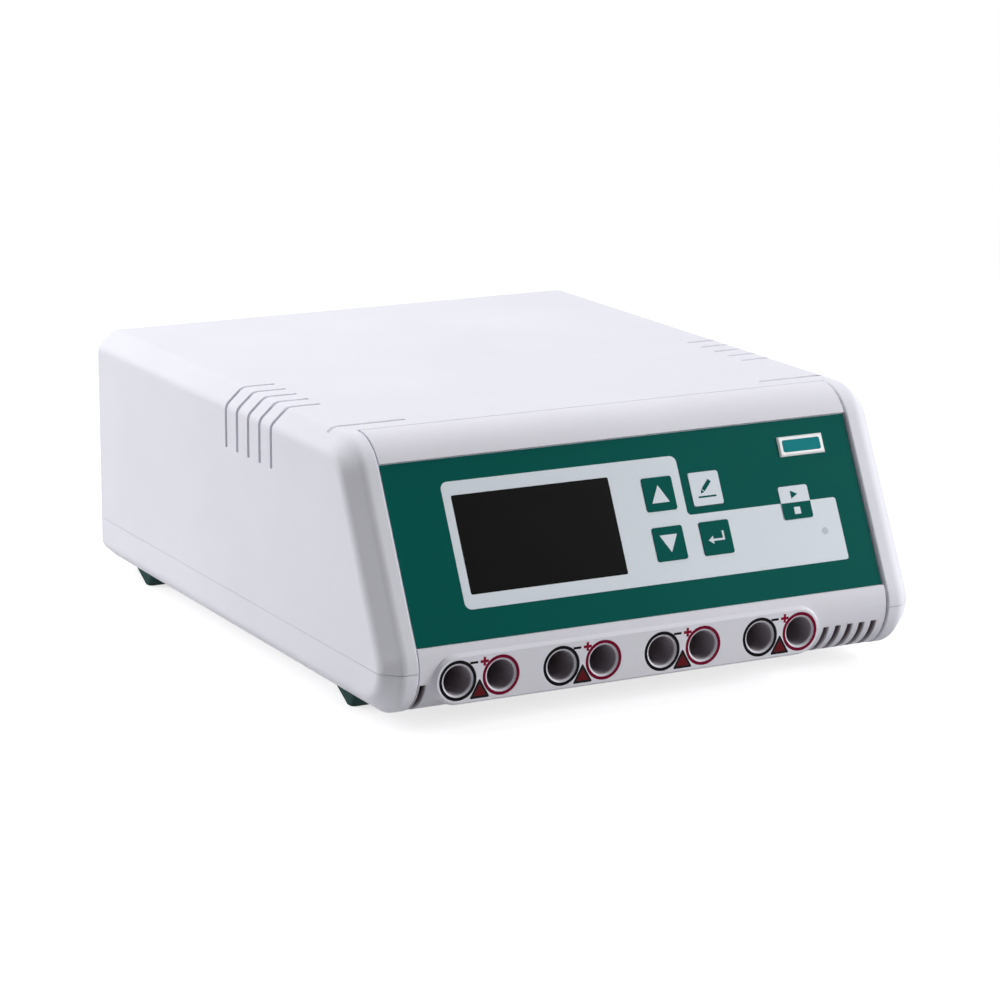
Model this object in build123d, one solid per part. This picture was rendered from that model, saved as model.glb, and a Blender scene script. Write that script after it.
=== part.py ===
"""Electrophoresis power supply, a bench box with a leaning front and eight 4 mm output sockets.

Millimetres. X runs along the front, to the right as the user sees it. Y runs from the front to the back.
Z is up. The origin is on the table, in the middle of the footprint.
"""

from build123d import *
from math import cos, radians, sin, tan
import os

os.makedirs("parts", exist_ok=True)

# Case, outside
width = 245.0
depth = 298.6
height = 112.0
foot_height = 6.4
wall = 2.5
shoulder_in = 7.7
shoulder_drop = 7.0
rear_wall = 4.5
rear_edge_radius = 4.0
crease_radius = 5.0
parting_height = 26.0
parting_gap = 0.15

# Leaning front
front_lean = 26.3
knee_height = 30.46
brow_radius = 20.0
knee_radius = 14.0
chin_radius = 20.7
cheek_width = 14.2
cheek_proud = 0.7
cheek_web = 2.2
cheek_web_deep = 12.0
bezel_wall = 3.0
bezel_flange = 2.0
seam = 0.6
cheek_rim_radius = 0.8

# Membrane sheet on the leaning panel, measured up the slope and from the middle of the sheet
sheet_below = 4.84
sheet_above = 11.91
sheet_recess = 0.8
sheet_thick = 0.4
sheet_margin = 0.35
window_size = (70.6, 40.1)
window_at = (-44.3, 1.5)
window_thick = 1.9
window_gap = 0.15
key_size = 14.0
key_corner = 1.0
key_gap = 0.2
key_raise = 0.3
key_flange = 1.2
key_flange_thick = 0.8
key_stem_radius = 2.5
key_travel = 0.5
key_columns = (12.7, 34.6)
key_row_up = 12.2
key_row_down = -8.5
run_key_at = (75.1, 1.9)
badge_size = (21.8, 8.4, 1.0)
badge_u = 83.6
badge_below_top = 11.6
badge_bevel = 0.6

# Display board, behind the leaning panel
board_thick = 1.6
display_board_wide = 196.0
display_board_short = 4.1
display_board_lift = 0.9
display_screw_inset = 4.0
display_screw_long = 6.0
display_pilot_deep = 5.0
display_space = 7.0
lcd_size = (84.0, 52.0)
switch_size = 6.0
switch_body = 3.5
switch_plunger_radius = 1.75
switch_plunger_high = 1.0
switch_slack = 0.1

# Output sockets in the boss
boss_proud = 1.6
boss_edge = 1.0
boss_spread = 1.0
boss_deep = 9.0
boss_roof = 1.5
joint_gap = 0.05
ring_outer_radius = 8.15
ring_inner_radius = 6.85
ring_thick = 0.3
socket_radius = 6.1
socket_height = 21.5
socket_pitch = 19.0
pair_pitch = 45.85
first_pair_x = -82.6
pair_count = 4
well_radius = 7.4
well_bore_radius = 5.8
well_gap = 0.3
well_nose_radius = 6.6
well_nose_gap = 0.1
well_nose_in = 1.0
well_long = 27.0
well_floor = 3.0
contact_radius = 3.0
contact_bore_radius = 2.0
contact_bore_long = 14.0
contact_recess = 18.0
stud_radius = 1.5
nut_flats = 5.5
nut_thick = 2.4
stud_past_nut = 2.0
spacer_long = 0.5
spacer_wall = 1.5
output_board_height = 18.0
output_board_margin = 8.0

# Vent slots in the chin
slot_width = 2.9
slot_pitch = 5.8
slot_count = 5
slot_top = 20.8
slot_first_x = 79.2
slot_left_x = -105.9
slot_back = 3.0

# Scored grooves round the shoulders, and a step line across the top
groove_width = 2.2
groove_depth = 0.9
groove_pitch = 11.3
groove_count = 5
groove_first_y = -42.9
groove_bottom = 87.2
groove_inward = 22.2
step_line_y = -85.2
step_line_inset = 2.0
step_line_long = 30.0

# Feet
foot_top = (27.0, 21.0)
foot_bottom = (24.0, 6.0)
foot_front_y = -94.7
foot_rear_y = 116.5
foot_x = 101.0
foot_screw_depth = 1.6
foot_head_thick = 1.0

# Fasteners
screw_radius = 1.4
screw_head_radius = 2.8
screw_head_thick = 1.8
screw_gap = 0.05
boss_radius = 4.0
case_boss_x = 110.0
case_boss_front_y = -60.0
case_boss_rear_y = 134.0
case_screw_recess = 2.0
case_screw_grip = 8.0
case_pilot_deep = 12.0
hole_gap = 0.2

# Main board
main_board_size = (120.0, 180.0)
main_board_centre = (-46.0, 2.0)
standoff_height = 8.0
standoff_inset = 6.0
standoff_radius = 3.0
board_screw_long = 7.0
board_pilot_deep = 6.0

# Rear panel and what it carries
rear_sheet = 1.5
rear_margin = 9.0
rear_screw_grip = 3.2
rear_screw_x = 70.0
screw_end_gap = 0.2
sheet_gap = 0.3
inlet_x = -78.0
inlet_z = 62.0
inlet_flange = (31.0, 48.0, 2.5)
inlet_body = (27.0, 44.0, 26.0)
inlet_cavity = (24.0, 16.6, 16.0)
inlet_cavity_lift = -10.0
inlet_pin = (2.0, 4.0, 12.0)
inlet_pin_pitch = 14.0
inlet_ground_lift = 4.0
drawer_size = (22.0, 12.0, 20.0)
drawer_lift = 12.0
drawer_gap = 0.3
drawer_wall = 1.5
drawer_lip = 1.4
drawer_lip_edge = 1.0
fuse_radius = 2.5
fuse_long = 16.0
fuse_pitch = 10.0
rocker_x = -30.0
rocker_z = 62.0
rocker_hole = (21.0, 15.0)
rocker_bezel = (25.0, 19.0, 2.0)
rocker_body_wall = 1.2
rocker_body_deep = 18.0
rocker_floor = 6.0
rocker_axis_in = 3.0
rocker_gap = 0.3
rocker_tilt = 9.0
rocker_radius = 13.5
rocker_thick = 5.0
rocker_arch_lift = 3.2
rocker_end_gap = 1.0
rocker_pin_radius = 1.0
rocker_pin_hold = 1.0
rocker_pin_end_gap = 1.0
fan_x = 62.0
fan_z = 60.0
fan_size = 60.0
fan_thick = 15.0
fan_corner = 4.0
fan_bore_radius = 28.5
fan_hub_radius = 12.0
fan_seat_radius = 11.0
fan_hub_thick = 10.0
fan_hub_gap = 0.4
fan_hub_cap = 1.2
fan_shaft_short = 1.0
fan_tip_gap = 1.0
fan_blades = 7
fan_blade_thick = 1.6
fan_blade_wide = 11.0
fan_blade_pitch = 40.0
fan_blade_root = 2.0
fan_hole_pitch = 50.0
fan_shaft_radius = 1.5
fan_shaft_gap = 0.05
fan_arm_width = 4.0
fan_arm_thick = 2.0
guard_wire = 0.8
guard_rings = 4
guard_hub_radius = 3.0
guard_eye_radius = 3.4
fan_screw_head = 1.2
fan_screw_short = 1.0

# Transformers and parts on the main board
core_size = (66.0, 34.0, 56.0)
core_window = (11.0, 34.0)
core_x = 66.0
core_y = 50.0
strap_thick = 1.5
strap_wide = 24.0
strap_foot = 10.0
strap_pad = 3.0
strap_screw_grip = 4.2
winding_gap = 0.3
winding_bulge = 9.0
hv_core_size = (42.0, 15.0, 36.0)
hv_window = (8.0, 24.0)
hv_at = (26.0, 38.0)
hv_bulge = 6.0
sink_size = (24.0, 96.0, 46.0)
sink_base = 4.0
sink_fins = 8
sink_fin_thick = 1.4
sink_inset = 22.0
sink_y = 2.0
transistor_size = (4.5, 10.0, 15.0)
transistor_leg = (0.6, 0.9, 6.0)
transistor_leg_pitch = 2.5
transistor_count = 4
transistor_pitch = 22.0
capacitors = [(12.0, -14.0, 12.5, 42.0), (40.0, -14.0, 12.5, 42.0), (26.0, -44.0, 11.0, 36.0)]
capacitor_groove = (4.0, 1.0, 0.8)
capacitor_edge = 1.2
relay_size = (19.0, 15.5, 15.5)
relay_places = [(-6.0, -64.0), (18.0, -68.0)]
block_size = (46.0, 12.0, 14.0)
block_at = (16.0, 76.0)
block_ways = 4
block_pitch = 10.5
block_wire_radius = 2.2
block_wire_lift = 5.0
block_screw_radius = 2.4
block_screw_deep = 3.0
ribbon_width = 26.0
ribbon_thick = 1.0
ribbon_at = 26.0
ribbon_bend = 3.0
ribbon_rise = 14.0
ribbon_back = 10.0
header_size = (30.0, 8.0, 8.0)

# Places worked out from the sizes above
half_width = width / 2
y_boss = -depth / 2
y_strip = y_boss + boss_proud
y_rear = depth / 2
underside = foot_height
floor = underside + wall
lean = radians(front_lean)
brow_corner_back = (height - knee_height) * tan(lean)
slope_length = (height - knee_height) / cos(lean)
opening_half = half_width - cheek_width
bezel_half = opening_half - seam
brow_end = y_strip + brow_corner_back + brow_radius * tan(radians(90 - front_lean) / 2)
chin_end = y_strip + chin_radius
y_panel = y_rear - rear_wall
sheet_length = slope_length - sheet_below - sheet_above
sheet_middle = sheet_length / 2
sheet_rise = knee_height + sheet_below * cos(lean)
sheet_origin_y = y_strip + sheet_below * sin(lean) + sheet_recess / cos(lean)
window_centre = (window_at[0], sheet_middle + window_at[1])
window_hole = [side + 2 * window_gap for side in window_size]
key_hole = key_size + 2 * key_gap
key_centres = {
    "key_up": (key_columns[0], sheet_middle + key_row_up),
    "key_down": (key_columns[0], sheet_middle + key_row_down),
    "key_edit": (key_columns[1], sheet_middle + key_row_up),
    "key_enter": (key_columns[1], sheet_middle + key_row_down),
    "key_run_stop": (run_key_at[0], sheet_middle + run_key_at[1]),
}
badge_centre = (badge_u, sheet_length - badge_below_top)
display_board_size = (display_board_wide, sheet_length - 2 * display_board_short)
display_board_v = sheet_middle + display_board_lift
slope = Plane(origin=(0, sheet_origin_y, sheet_rise), x_dir=(1, 0, 0), z_dir=(0, -cos(lean), sin(lean)))
bezel_back = sheet_recess - bezel_wall
board_front = bezel_back - display_space
socket_xs = [
    (first_pair_x + i * pair_pitch - socket_pitch / 2, first_pair_x + i * pair_pitch + socket_pitch / 2)
    for i in range(pair_count)
]
minus_xs = [pair[0] for pair in socket_xs]
plus_xs = [pair[1] for pair in socket_xs]
all_xs = minus_xs + plus_xs
y_well = y_boss + boss_deep
y_well_end = y_well + well_long
y_board_front = y_well_end + spacer_long
boss_crown = ring_outer_radius + boss_edge
panel_low = y_panel - rear_sheet
inlet_mouth = y_panel + inlet_flange[2]
cavity_z = inlet_z + inlet_cavity_lift
drawer_z = inlet_z + drawer_lift
rocker_body = (rocker_hole[0] + 2 * rocker_body_wall, rocker_hole[1] + 2 * rocker_body_wall)
rocker_axis_y = y_panel - rocker_axis_in
fan_front = panel_low - fan_thick
board_low = floor + standoff_height
board_top = board_low + board_thick
board_x, board_y = main_board_centre
sink_x = board_x - main_board_size[0] / 2 + sink_inset
core_centre = (core_x, core_y, floor + strap_pad + core_size[2] / 2)
hv_centre = (board_x + hv_at[0], board_y + hv_at[1], board_top + hv_core_size[2] / 2)


def solid_box(low, high):
    """A box between two corners."""
    size = [b - a for a, b in zip(low, high)]
    return Pos(*low) * Box(*size, align=(Align.MIN, Align.MIN, Align.MIN))


def centred_box(centre, size):
    """A box round its centre."""
    return Pos(*centre) * Box(*size)


def rod(centre, radius, length, axis="Z"):
    """A cylinder round its centre, along one axis."""
    turn = {"X": Rot(0, 90, 0), "Y": Rot(90, 0, 0), "Z": Rot(0, 0, 0)}[axis]
    return Pos(*centre) * turn * Cylinder(radius, length)


def on_slope(u, v, w=0.0):
    """A place on the leaning panel: along it, up it, and out of it."""
    return slope * Pos(u, v, w)


def slope_slab(centre, size, low, high, corner=0.0):
    """A slab on the leaning panel, between two heights out of it."""
    outline = RectangleRounded(*size, corner) if corner else Rectangle(*size)
    return on_slope(*centre, low) * extrude(outline, high - low)


def profile(forward=0.0, inset=0.0, rear=None):
    """The side outline of the case, moved forward or drawn in, as a face in the YZ plane."""
    top = height - inset
    bottom = underside + inset
    front = y_strip - forward + inset
    back = y_rear - inset if rear is None else rear
    lean_y = y_strip - forward + inset / cos(lean) + (top - knee_height) * tan(lean)
    knee_z = knee_height - inset * (1 / cos(lean) - 1) / tan(lean)
    corners = [(back, top), (lean_y, top), (front, knee_z), (front, bottom), (back, bottom)]
    radii = [brow_radius - inset, knee_radius - inset, chin_radius - inset]
    points = [(0, y, z) for y, z in corners]
    edge = FilletPolyline(*points, radius=[max(r, 1.0) for r in radii])
    return make_face(edge + Line(points[-1], points[0]))


def prism(face, half):
    """A YZ outline drawn out to both sides of the middle."""
    return extrude(face, half, dir=(1, 0, 0), both=True)


def bevel_sides(body, half, drop, inward):
    """Cuts the sloping shoulder along every edge of both side faces, except at the back."""
    for end in (0, -1):
        face = body.faces().filter_by(Axis.X).sort_by(Axis.X)[end]
        body = chamfer(face.edges().sort_by(Axis.Y)[:-1], length=drop, length2=inward, reference=face)
    return body


def soften_creases(body, half):
    """Rounds the edges of the side faces, the creases of the shoulders, then the edges of the rear face."""
    sides = body.faces().filter_by(Axis.X)
    body = fillet([edge for side in sides for edge in side.edges().sort_by(Axis.Y)[:-1]], crease_radius)
    crease_x = half - shoulder_in
    creases = body.edges().filter_by(lambda edge: abs(abs(edge.center().X) - crease_x) < wall / 10)
    body = fillet(creases, crease_radius)
    rear_face = body.faces().filter_by(Axis.Y).sort_by(Axis.Y)[-1]
    return fillet(rear_face.edges(), rear_edge_radius)


def cheek_rims(body):
    """The edges where the cheeks' outer surface meets the front opening."""
    rims = []
    line = profile(cheek_proud).face().outer_wire()
    for edge in body.edges():
        middle = edge @ 0.5
        on_side = abs(abs(middle.X) - opening_half) < cheek_rim_radius / 10
        if on_side and line.distance_to(Vector(0, middle.Y, middle.Z)) < cheek_rim_radius / 10:
            rims.append(edge)
    return rims


def save(name, shape):
    """Writes one node."""
    shape.label = name
    export_step(shape, "parts/" + name + ".step")
    print(name, len(shape.solids()), round(shape.volume))


def group(pieces):
    """Separate solids in one node."""
    return Compound(children=[s for piece in pieces for s in piece.solids()])


def screw(x, y, head_z, length, up=True):
    """A pan-head screw along Z, with its head's seat at head_z and its shank going up or down."""
    way = 1 if up else -1
    head = rod((x, y, head_z - way * screw_head_thick / 2), screw_head_radius, screw_head_thick)
    shank = rod((x, y, head_z + way * length / 2), screw_radius - screw_gap, length)
    return head + shank


# Case shell, before it is parted into cover and tray
outer = bevel_sides(prism(profile(cheek_proud), half_width), half_width, shoulder_drop, shoulder_in)
outer = soften_creases(outer, half_width)
inner_half = half_width - wall
inner_drop = shoulder_drop - wall * 0.6
inner_in = shoulder_in - wall * 0.6
inner = prism(profile(cheek_proud, wall, y_panel), inner_half)
inner = bevel_sides(inner, inner_half, inner_drop, inner_in)
web_core = prism(profile(cheek_proud, cheek_web_deep, y_rear + 1), half_width)
far = 2 * depth
front_cut = make_face(
    Polyline(
        (0, -far, -far),
        (0, chin_end, -far),
        (0, chin_end, parting_height),
        (0, brow_end, parting_height + wall),
        (0, brow_end, far),
        (0, -far, far),
        close=True,
    )
)
shell = outer - inner
for side in (-1, 1):
    web_x = sorted([side * opening_half, side * (opening_half + cheek_web)])
    web = outer & solid_box((web_x[0], y_boss, 0), (web_x[1], brow_end, height))
    shell = shell + (web - web_core)
shell = shell - prism(front_cut, opening_half)
shell = fillet(cheek_rims(shell), cheek_rim_radius)
window_low = (-half_width + rear_margin, y_panel - 1, parting_height)
window_high = (half_width - rear_margin, y_rear + 1, height - rear_margin)
shell = shell - solid_box(window_low, window_high)
above = solid_box((-far, -far, parting_height + parting_gap / 2), (far, far, far))
below = solid_box((-far, -far, -far), (far, far, parting_height - parting_gap / 2))
boss_places = [(x, y) for x in (-case_boss_x, case_boss_x) for y in (case_boss_front_y, case_boss_rear_y)]


def cover_grooves():
    """Scored lines that wrap each shoulder, and the short step lines at the front of the top."""
    skin_half = half_width - groove_depth
    skin = prism(profile(cheek_proud - groove_depth, groove_depth, y_rear), skin_half)
    skin = soften_creases(bevel_sides(skin, skin_half, shoulder_drop, shoulder_in), skin_half)
    lines = []
    for side in (-1, 1):
        xs = sorted([side * (half_width + 1), side * (half_width - groove_inward)])
        for i in range(groove_count):
            y = groove_first_y + i * groove_pitch
            low = (xs[0], y - groove_width / 2, groove_bottom)
            high = (xs[1], y + groove_width / 2, height + 1)
            lines.append(solid_box(low, high))
        step_start = half_width - shoulder_in - step_line_inset
        xs = sorted([side * step_start, side * (step_start - step_line_long)])
        low = (xs[0], step_line_y - groove_width / 2, groove_bottom)
        high = (xs[1], step_line_y + groove_width / 2, height + 1)
        lines.append(solid_box(low, high))
    return [line - skin for line in lines]


def upper_cover():
    """Top, shoulders, side walls and the upper cheeks, with posts for the case screws."""
    cover = shell & above
    for line in cover_grooves():
        cover = cover - line
    for x, y in boss_places:
        post = rod((x, y, (parting_height + height) / 2), boss_radius, height - parting_height)
        cover = cover + (post & inner)
        cover = cover - rod((x, y, parting_height), screw_radius, 2 * case_pilot_deep)
    return cover


def lower_tray():
    """Floor and low walls, with bosses for the case screws, the main board and the transformer."""
    tray = shell & below
    for x, y in boss_places:
        tray = tray + rod((x, y, (floor + parting_height) / 2), boss_radius, parting_height - floor)
    for x, y in standoff_places():
        tray = tray + rod((x, y, floor + standoff_height / 2), standoff_radius, standoff_height)
        tray = tray - rod((x, y, floor + standoff_height), screw_radius, 2 * board_pilot_deep)
    for x, y in strap_places():
        tray = tray + rod((x, y, floor + strap_pad / 2), boss_radius, strap_pad)
        tray = tray - rod((x, y, floor + strap_pad), screw_radius, 2 * strap_screw_grip)
    for x, y in boss_places:
        tray = tray - rod((x, y, parting_height / 2), screw_radius + hole_gap, parting_height + 1)
        tray = tray - rod((x, y, underside), screw_head_radius + hole_gap, 2 * case_screw_recess)
    for x, y in foot_places():
        tray = tray - rod((x, y, underside), screw_radius, 3 * wall)
    for x, z in rear_screw_places():
        tray = tray - rod((x, y_panel, z), screw_radius, 2 * rear_screw_grip, "Y")
    return tray


def standoff_places():
    """Six places under the main board."""
    dx = main_board_size[0] / 2 - standoff_inset
    dy = main_board_size[1] / 2 - standoff_inset
    return [(board_x + i * dx, board_y + j * dy) for i in (-1, 1) for j in (-1, 0, 1)]


def strap_places():
    """Two screws for the transformer's strap."""
    reach = core_size[0] / 2 + strap_thick + strap_foot / 2
    return [(core_x - reach, core_y), (core_x + reach, core_y)]


def foot_places():
    """Four feet."""
    return [(x, y) for x in (-foot_x, foot_x) for y in (foot_front_y, foot_rear_y)]


def front_band(inset):
    """The front moulding's side outline, as a band of the given thickness."""
    return prism(profile(0, 0), bezel_half) - prism(profile(0, inset, y_rear + 1), far)


def front_strip():
    """Brow, leaning panel, terminal strip and chin as one bent sheet with side flanges."""
    sheet = front_band(bezel_wall)
    flanges = front_band(cheek_web_deep)
    flanges = flanges - prism(profile(0, bezel_wall, y_rear + 1), bezel_half - bezel_flange)
    strip = sheet + flanges
    behind = make_face(
        Polyline(
            (0, far, -far),
            (0, chin_end - seam, -far),
            (0, chin_end - seam, parting_height),
            (0, brow_end - seam, parting_height + wall),
            (0, brow_end - seam, far),
            (0, far, far),
            close=True,
        )
    )
    return strip - prism(behind, far)


def front_bezel():
    """Brow and leaning panel, with the recess for the membrane sheet and the windows through it."""
    upper = on_slope(0, far / 2, 0) * Box(far, far, far)
    bezel = front_strip() & upper
    bezel = bezel - slope_slab((0, sheet_middle), (2 * half_width, sheet_length), -sheet_thick, far)
    bezel = bezel - slope_slab(window_centre, window_hole, bezel_back - 1, 1)
    for centre in key_centres.values():
        bezel = bezel - slope_slab(centre, (key_hole, key_hole), bezel_back - 1, 1, key_corner)
    post_w = bezel_back - display_space / 2
    for u, v in display_screw_places():
        bezel = bezel + on_slope(u, v, post_w) * Cylinder(standoff_radius, display_space)
        bezel = bezel - on_slope(u, v, board_front) * Cylinder(screw_radius, 2 * display_pilot_deep)
    return bezel


def display_screw_places():
    """Four corners of the display board."""
    du = display_board_size[0] / 2 - display_screw_inset
    dv = display_board_size[1] / 2 - display_screw_inset
    return [(i * du, display_board_v + j * dv) for i in (-1, 1) for j in (-1, 1)]


def stadium(radius, y_low, y_high):
    """A long round-ended block along the sockets."""
    left = min(all_xs)
    right = max(all_xs)
    block = solid_box((left, y_low, socket_height - radius), (right, y_high, socket_height + radius))
    for x in (left, right):
        block = block + rod((x, (y_low + y_high) / 2, socket_height), radius, y_high - y_low, "Y")
    return block


def terminal_panel():
    """Terminal strip and chin, with the raised boss, the socket holes and the vent slots."""
    lower = on_slope(0, -far / 2 - joint_gap, 0) * Box(far, far, far)
    panel = front_strip() & lower
    left = min(all_xs)
    right = max(all_xs)
    middle = ((left + right) / 2, y_boss, socket_height)
    face_plane = Plane(origin=middle, x_dir=(1, 0, 0), z_dir=(0, -1, 0))
    base_plane = face_plane.offset(-boss_proud)
    crown_face = face_plane * SlotCenterToCenter(right - left, 2 * boss_crown)
    base_face = base_plane * SlotCenterToCenter(right - left, 2 * (boss_crown + boss_spread))
    panel = panel + loft([crown_face, base_face])
    deep = stadium(boss_crown + boss_spread, y_strip, y_well)
    deep = deep & solid_box((-bezel_half, y_boss, underside), (bezel_half, y_rear, sheet_rise - boss_roof))
    panel = panel + deep
    for x in all_xs:
        panel = panel - rod((x, y_boss + boss_deep / 2, socket_height), socket_radius, boss_deep + 2, "Y")
        mouth = ring_inner_radius - socket_radius
        cone = Cone(ring_inner_radius, socket_radius, mouth)
        panel = panel - Pos(x, y_boss + mouth / 2, socket_height) * Rot(-90, 0, 0) * cone
        groove = rod((x, y_boss + ring_thick / 2, socket_height), ring_outer_radius, ring_thick, "Y")
        groove = groove - rod((x, y_boss, socket_height), ring_inner_radius, 4, "Y")
        panel = panel - groove
        seat = rod((x, y_well + well_long / 2, socket_height), well_radius + well_gap, well_long, "Y")
        nose_low = y_boss + well_nose_in - well_nose_gap
        nose_middle = (x, (nose_low + y_well) / 2, socket_height)
        nose_seat = rod(nose_middle, well_nose_radius + well_nose_gap, y_well - nose_low, "Y")
        panel = panel - seat - nose_seat
    slots = [slot_first_x + i * slot_pitch for i in range(slot_count)] + [slot_left_x]
    for x in slots:
        low = (x - slot_width / 2, y_boss, 0)
        high = (x + slot_width / 2, chin_end - slot_back, slot_top)
        panel = panel - solid_box(low, high)
    return panel


def ring(x):
    """A coloured ring let into the boss round one socket."""
    plain = rod((x, y_boss + ring_thick / 2, socket_height), ring_outer_radius, ring_thick, "Y")
    return plain - rod((x, y_boss, socket_height), ring_inner_radius, 4, "Y")


def socket_well(x):
    """The black insulating cup behind one socket hole, with its nose in the hole."""
    cup = rod((x, y_well + well_long / 2, socket_height), well_radius, well_long, "Y")
    nose_tip = y_boss + well_nose_in
    nose = rod((x, (nose_tip + y_well) / 2, socket_height), well_nose_radius, y_well - nose_tip, "Y")
    bore_long = y_well_end - well_floor - y_boss
    bore = rod((x, y_boss + bore_long / 2, socket_height), well_bore_radius, bore_long, "Y")
    return cup + nose - bore - rod((x, y_well_end, socket_height), stud_radius, 4 * well_floor, "Y")


def contact(x):
    """The brass tube that takes a 4 mm plug, with its stud through the cup and the board."""
    tip = y_boss + contact_recess
    seat = y_well_end - well_floor
    tube = rod((x, (tip + seat) / 2, socket_height), contact_radius, seat - tip, "Y")
    bore_y = tip + contact_bore_long / 2
    bore = rod((x, bore_y, socket_height), contact_bore_radius, contact_bore_long, "Y")
    stud_end = y_board_front + board_thick + nut_thick + stud_past_nut
    stud = rod((x, (seat + stud_end) / 2, socket_height), stud_radius - screw_gap, stud_end - seat, "Y")
    return tube - bore + stud


def jack_nut(x):
    """A hexagon nut on one stud."""
    seat = (x, y_board_front + board_thick, socket_height)
    plane = Plane(origin=seat, x_dir=(1, 0, 0), z_dir=(0, 1, 0))
    nut = extrude(plane * RegularPolygon(nut_flats / 2, 6, major_radius=False), nut_thick)
    return nut - rod((x, y_board_front, socket_height), stud_radius, 20, "Y")


def output_board():
    """The board that carries the studs of all eight sockets."""
    left = min(all_xs) - output_board_margin
    right = max(all_xs) + output_board_margin
    low = (left, y_board_front, socket_height - output_board_height / 2)
    high = (right, y_board_front + board_thick, socket_height + output_board_height / 2)
    board = solid_box(low, high)
    for x in all_xs:
        board = board - rod((x, y_board_front, socket_height), stud_radius, 10, "Y")
    return board


def spacer(x):
    """The collar between one cup and the board."""
    middle = (x, y_well_end + spacer_long / 2, socket_height)
    collar = rod(middle, stud_radius + spacer_wall, spacer_long, "Y")
    return collar - rod((x, y_well_end, socket_height), stud_radius, 4, "Y")


def membrane_overlay():
    """The printed sheet, with the display hole and the key holes."""
    size = (2 * (bezel_half - sheet_margin), sheet_length - 2 * sheet_margin)
    sheet = slope_slab((0, sheet_middle), size, -sheet_thick, 0)
    sheet = sheet - slope_slab(window_centre, window_hole, -1, 1)
    for centre in key_centres.values():
        sheet = sheet - slope_slab(centre, (key_hole, key_hole), -1, 1, key_corner)
    return sheet


def key(centre):
    """One key: a pad in its window, a flange behind the panel and a short stem."""
    pad = slope_slab(centre, (key_size, key_size), bezel_back, key_raise, key_corner)
    flange_size = key_hole + 2 * key_flange
    flange_low = bezel_back - key_flange_thick
    flange = slope_slab(centre, (flange_size, flange_size), flange_low, bezel_back, key_corner)
    plunger_top = board_front + switch_body + switch_plunger_high
    stem_low = plunger_top + key_travel + switch_slack
    stem = Cylinder(key_stem_radius, flange_low - stem_low)
    return pad + flange + on_slope(*centre, (flange_low + stem_low) / 2) * stem


def key_switch(centre):
    """A tact switch on the display board."""
    body = slope_slab(centre, (switch_size, switch_size), board_front, board_front + switch_body)
    plunger = Cylinder(switch_plunger_radius, switch_plunger_high)
    return body + on_slope(*centre, board_front + switch_body + switch_plunger_high / 2) * plunger


def display_board():
    """The board behind the keys and the display."""
    centre = (0, display_board_v)
    board = slope_slab(centre, display_board_size, board_front - board_thick, board_front)
    for u, v in display_screw_places():
        board = board - on_slope(u, v, board_front) * Cylinder(screw_radius + hole_gap, 10)
    return board


def display_screw(u, v):
    """A screw through the display board into the bezel's post."""
    seat = board_front - board_thick
    head = on_slope(u, v, seat - screw_head_thick / 2) * Cylinder(screw_head_radius, screw_head_thick)
    shank = Cylinder(screw_radius - screw_gap, display_screw_long)
    return head + on_slope(u, v, seat + display_screw_long / 2) * shank


def badge_plate():
    """A bare bevelled plate on the sheet."""
    long, high, thick = badge_size
    plate = slope_slab(badge_centre, (long, high), 0, thick)
    top = plate.faces().sort_by(Axis((0, 0, 0), slope.z_dir))[-1]
    return chamfer(top.edges(), badge_bevel)


def foot(x, y):
    """A tapered rubber foot, wide along the front."""
    top = Plane.XY.offset(underside) * RectangleRounded(*foot_top, 3.0)
    bottom = RectangleRounded(*foot_bottom, 2.0)
    pad = Pos(x, y, 0) * loft([bottom, top])
    pad = pad - rod((x, y, foot_screw_depth / 2), screw_head_radius, foot_screw_depth)
    return pad - rod((x, y, underside), screw_radius, 4 * underside)


def foot_screw(x, y):
    """A screw up through one foot into the floor."""
    seat = foot_screw_depth
    head = rod((x, y, seat - foot_head_thick / 2), screw_head_radius - screw_gap, foot_head_thick)
    length = floor - seat
    return head + rod((x, y, seat + length / 2), screw_radius - screw_gap, length)


def rear_panel():
    """The steel sheet inside the rear window, cut for the inlet, the switch and the fan."""
    sheet = inner & solid_box((-far, panel_low, floor), (far, y_panel, height - wall - sheet_gap))
    sheet = sheet & solid_box((-inner_half + sheet_gap, -far, 0), (inner_half - sheet_gap, far, far))
    for x, z, size in ((inlet_x, inlet_z, inlet_body[:2]), (rocker_x, rocker_z, rocker_body)):
        hole = (size[0] + 2 * sheet_gap, 4 * rear_sheet, size[1] + 2 * sheet_gap)
        sheet = sheet - centred_box((x, y_panel, z), hole)
    sheet = sheet - rod((fan_x, y_panel, fan_z), fan_bore_radius, 4 * rear_sheet, "Y")
    for x, z in fan_screw_places() + rear_screw_places():
        sheet = sheet - rod((x, y_panel, z), screw_radius + hole_gap, 4 * rear_sheet, "Y")
    return sheet


def fan_screw_places():
    """Four corners of the fan."""
    half = fan_hole_pitch / 2
    return [(fan_x + i * half, fan_z + j * half) for i in (-1, 1) for j in (-1, 1)]


def rear_screw_places():
    """Two screws that hold the rear panel to the tray's rear wall."""
    z = (floor + parting_height) / 2
    return [(-rear_screw_x, z), (rear_screw_x, z)]


def rear_screw(x, z):
    """A screw from the inside through the rear panel into the tray's wall."""
    head = rod((x, panel_low - screw_head_thick / 2, z), screw_head_radius, screw_head_thick, "Y")
    long = rear_sheet + rear_screw_grip - screw_end_gap
    return head + rod((x, panel_low + long / 2, z), screw_radius - screw_gap, long, "Y")


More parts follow.
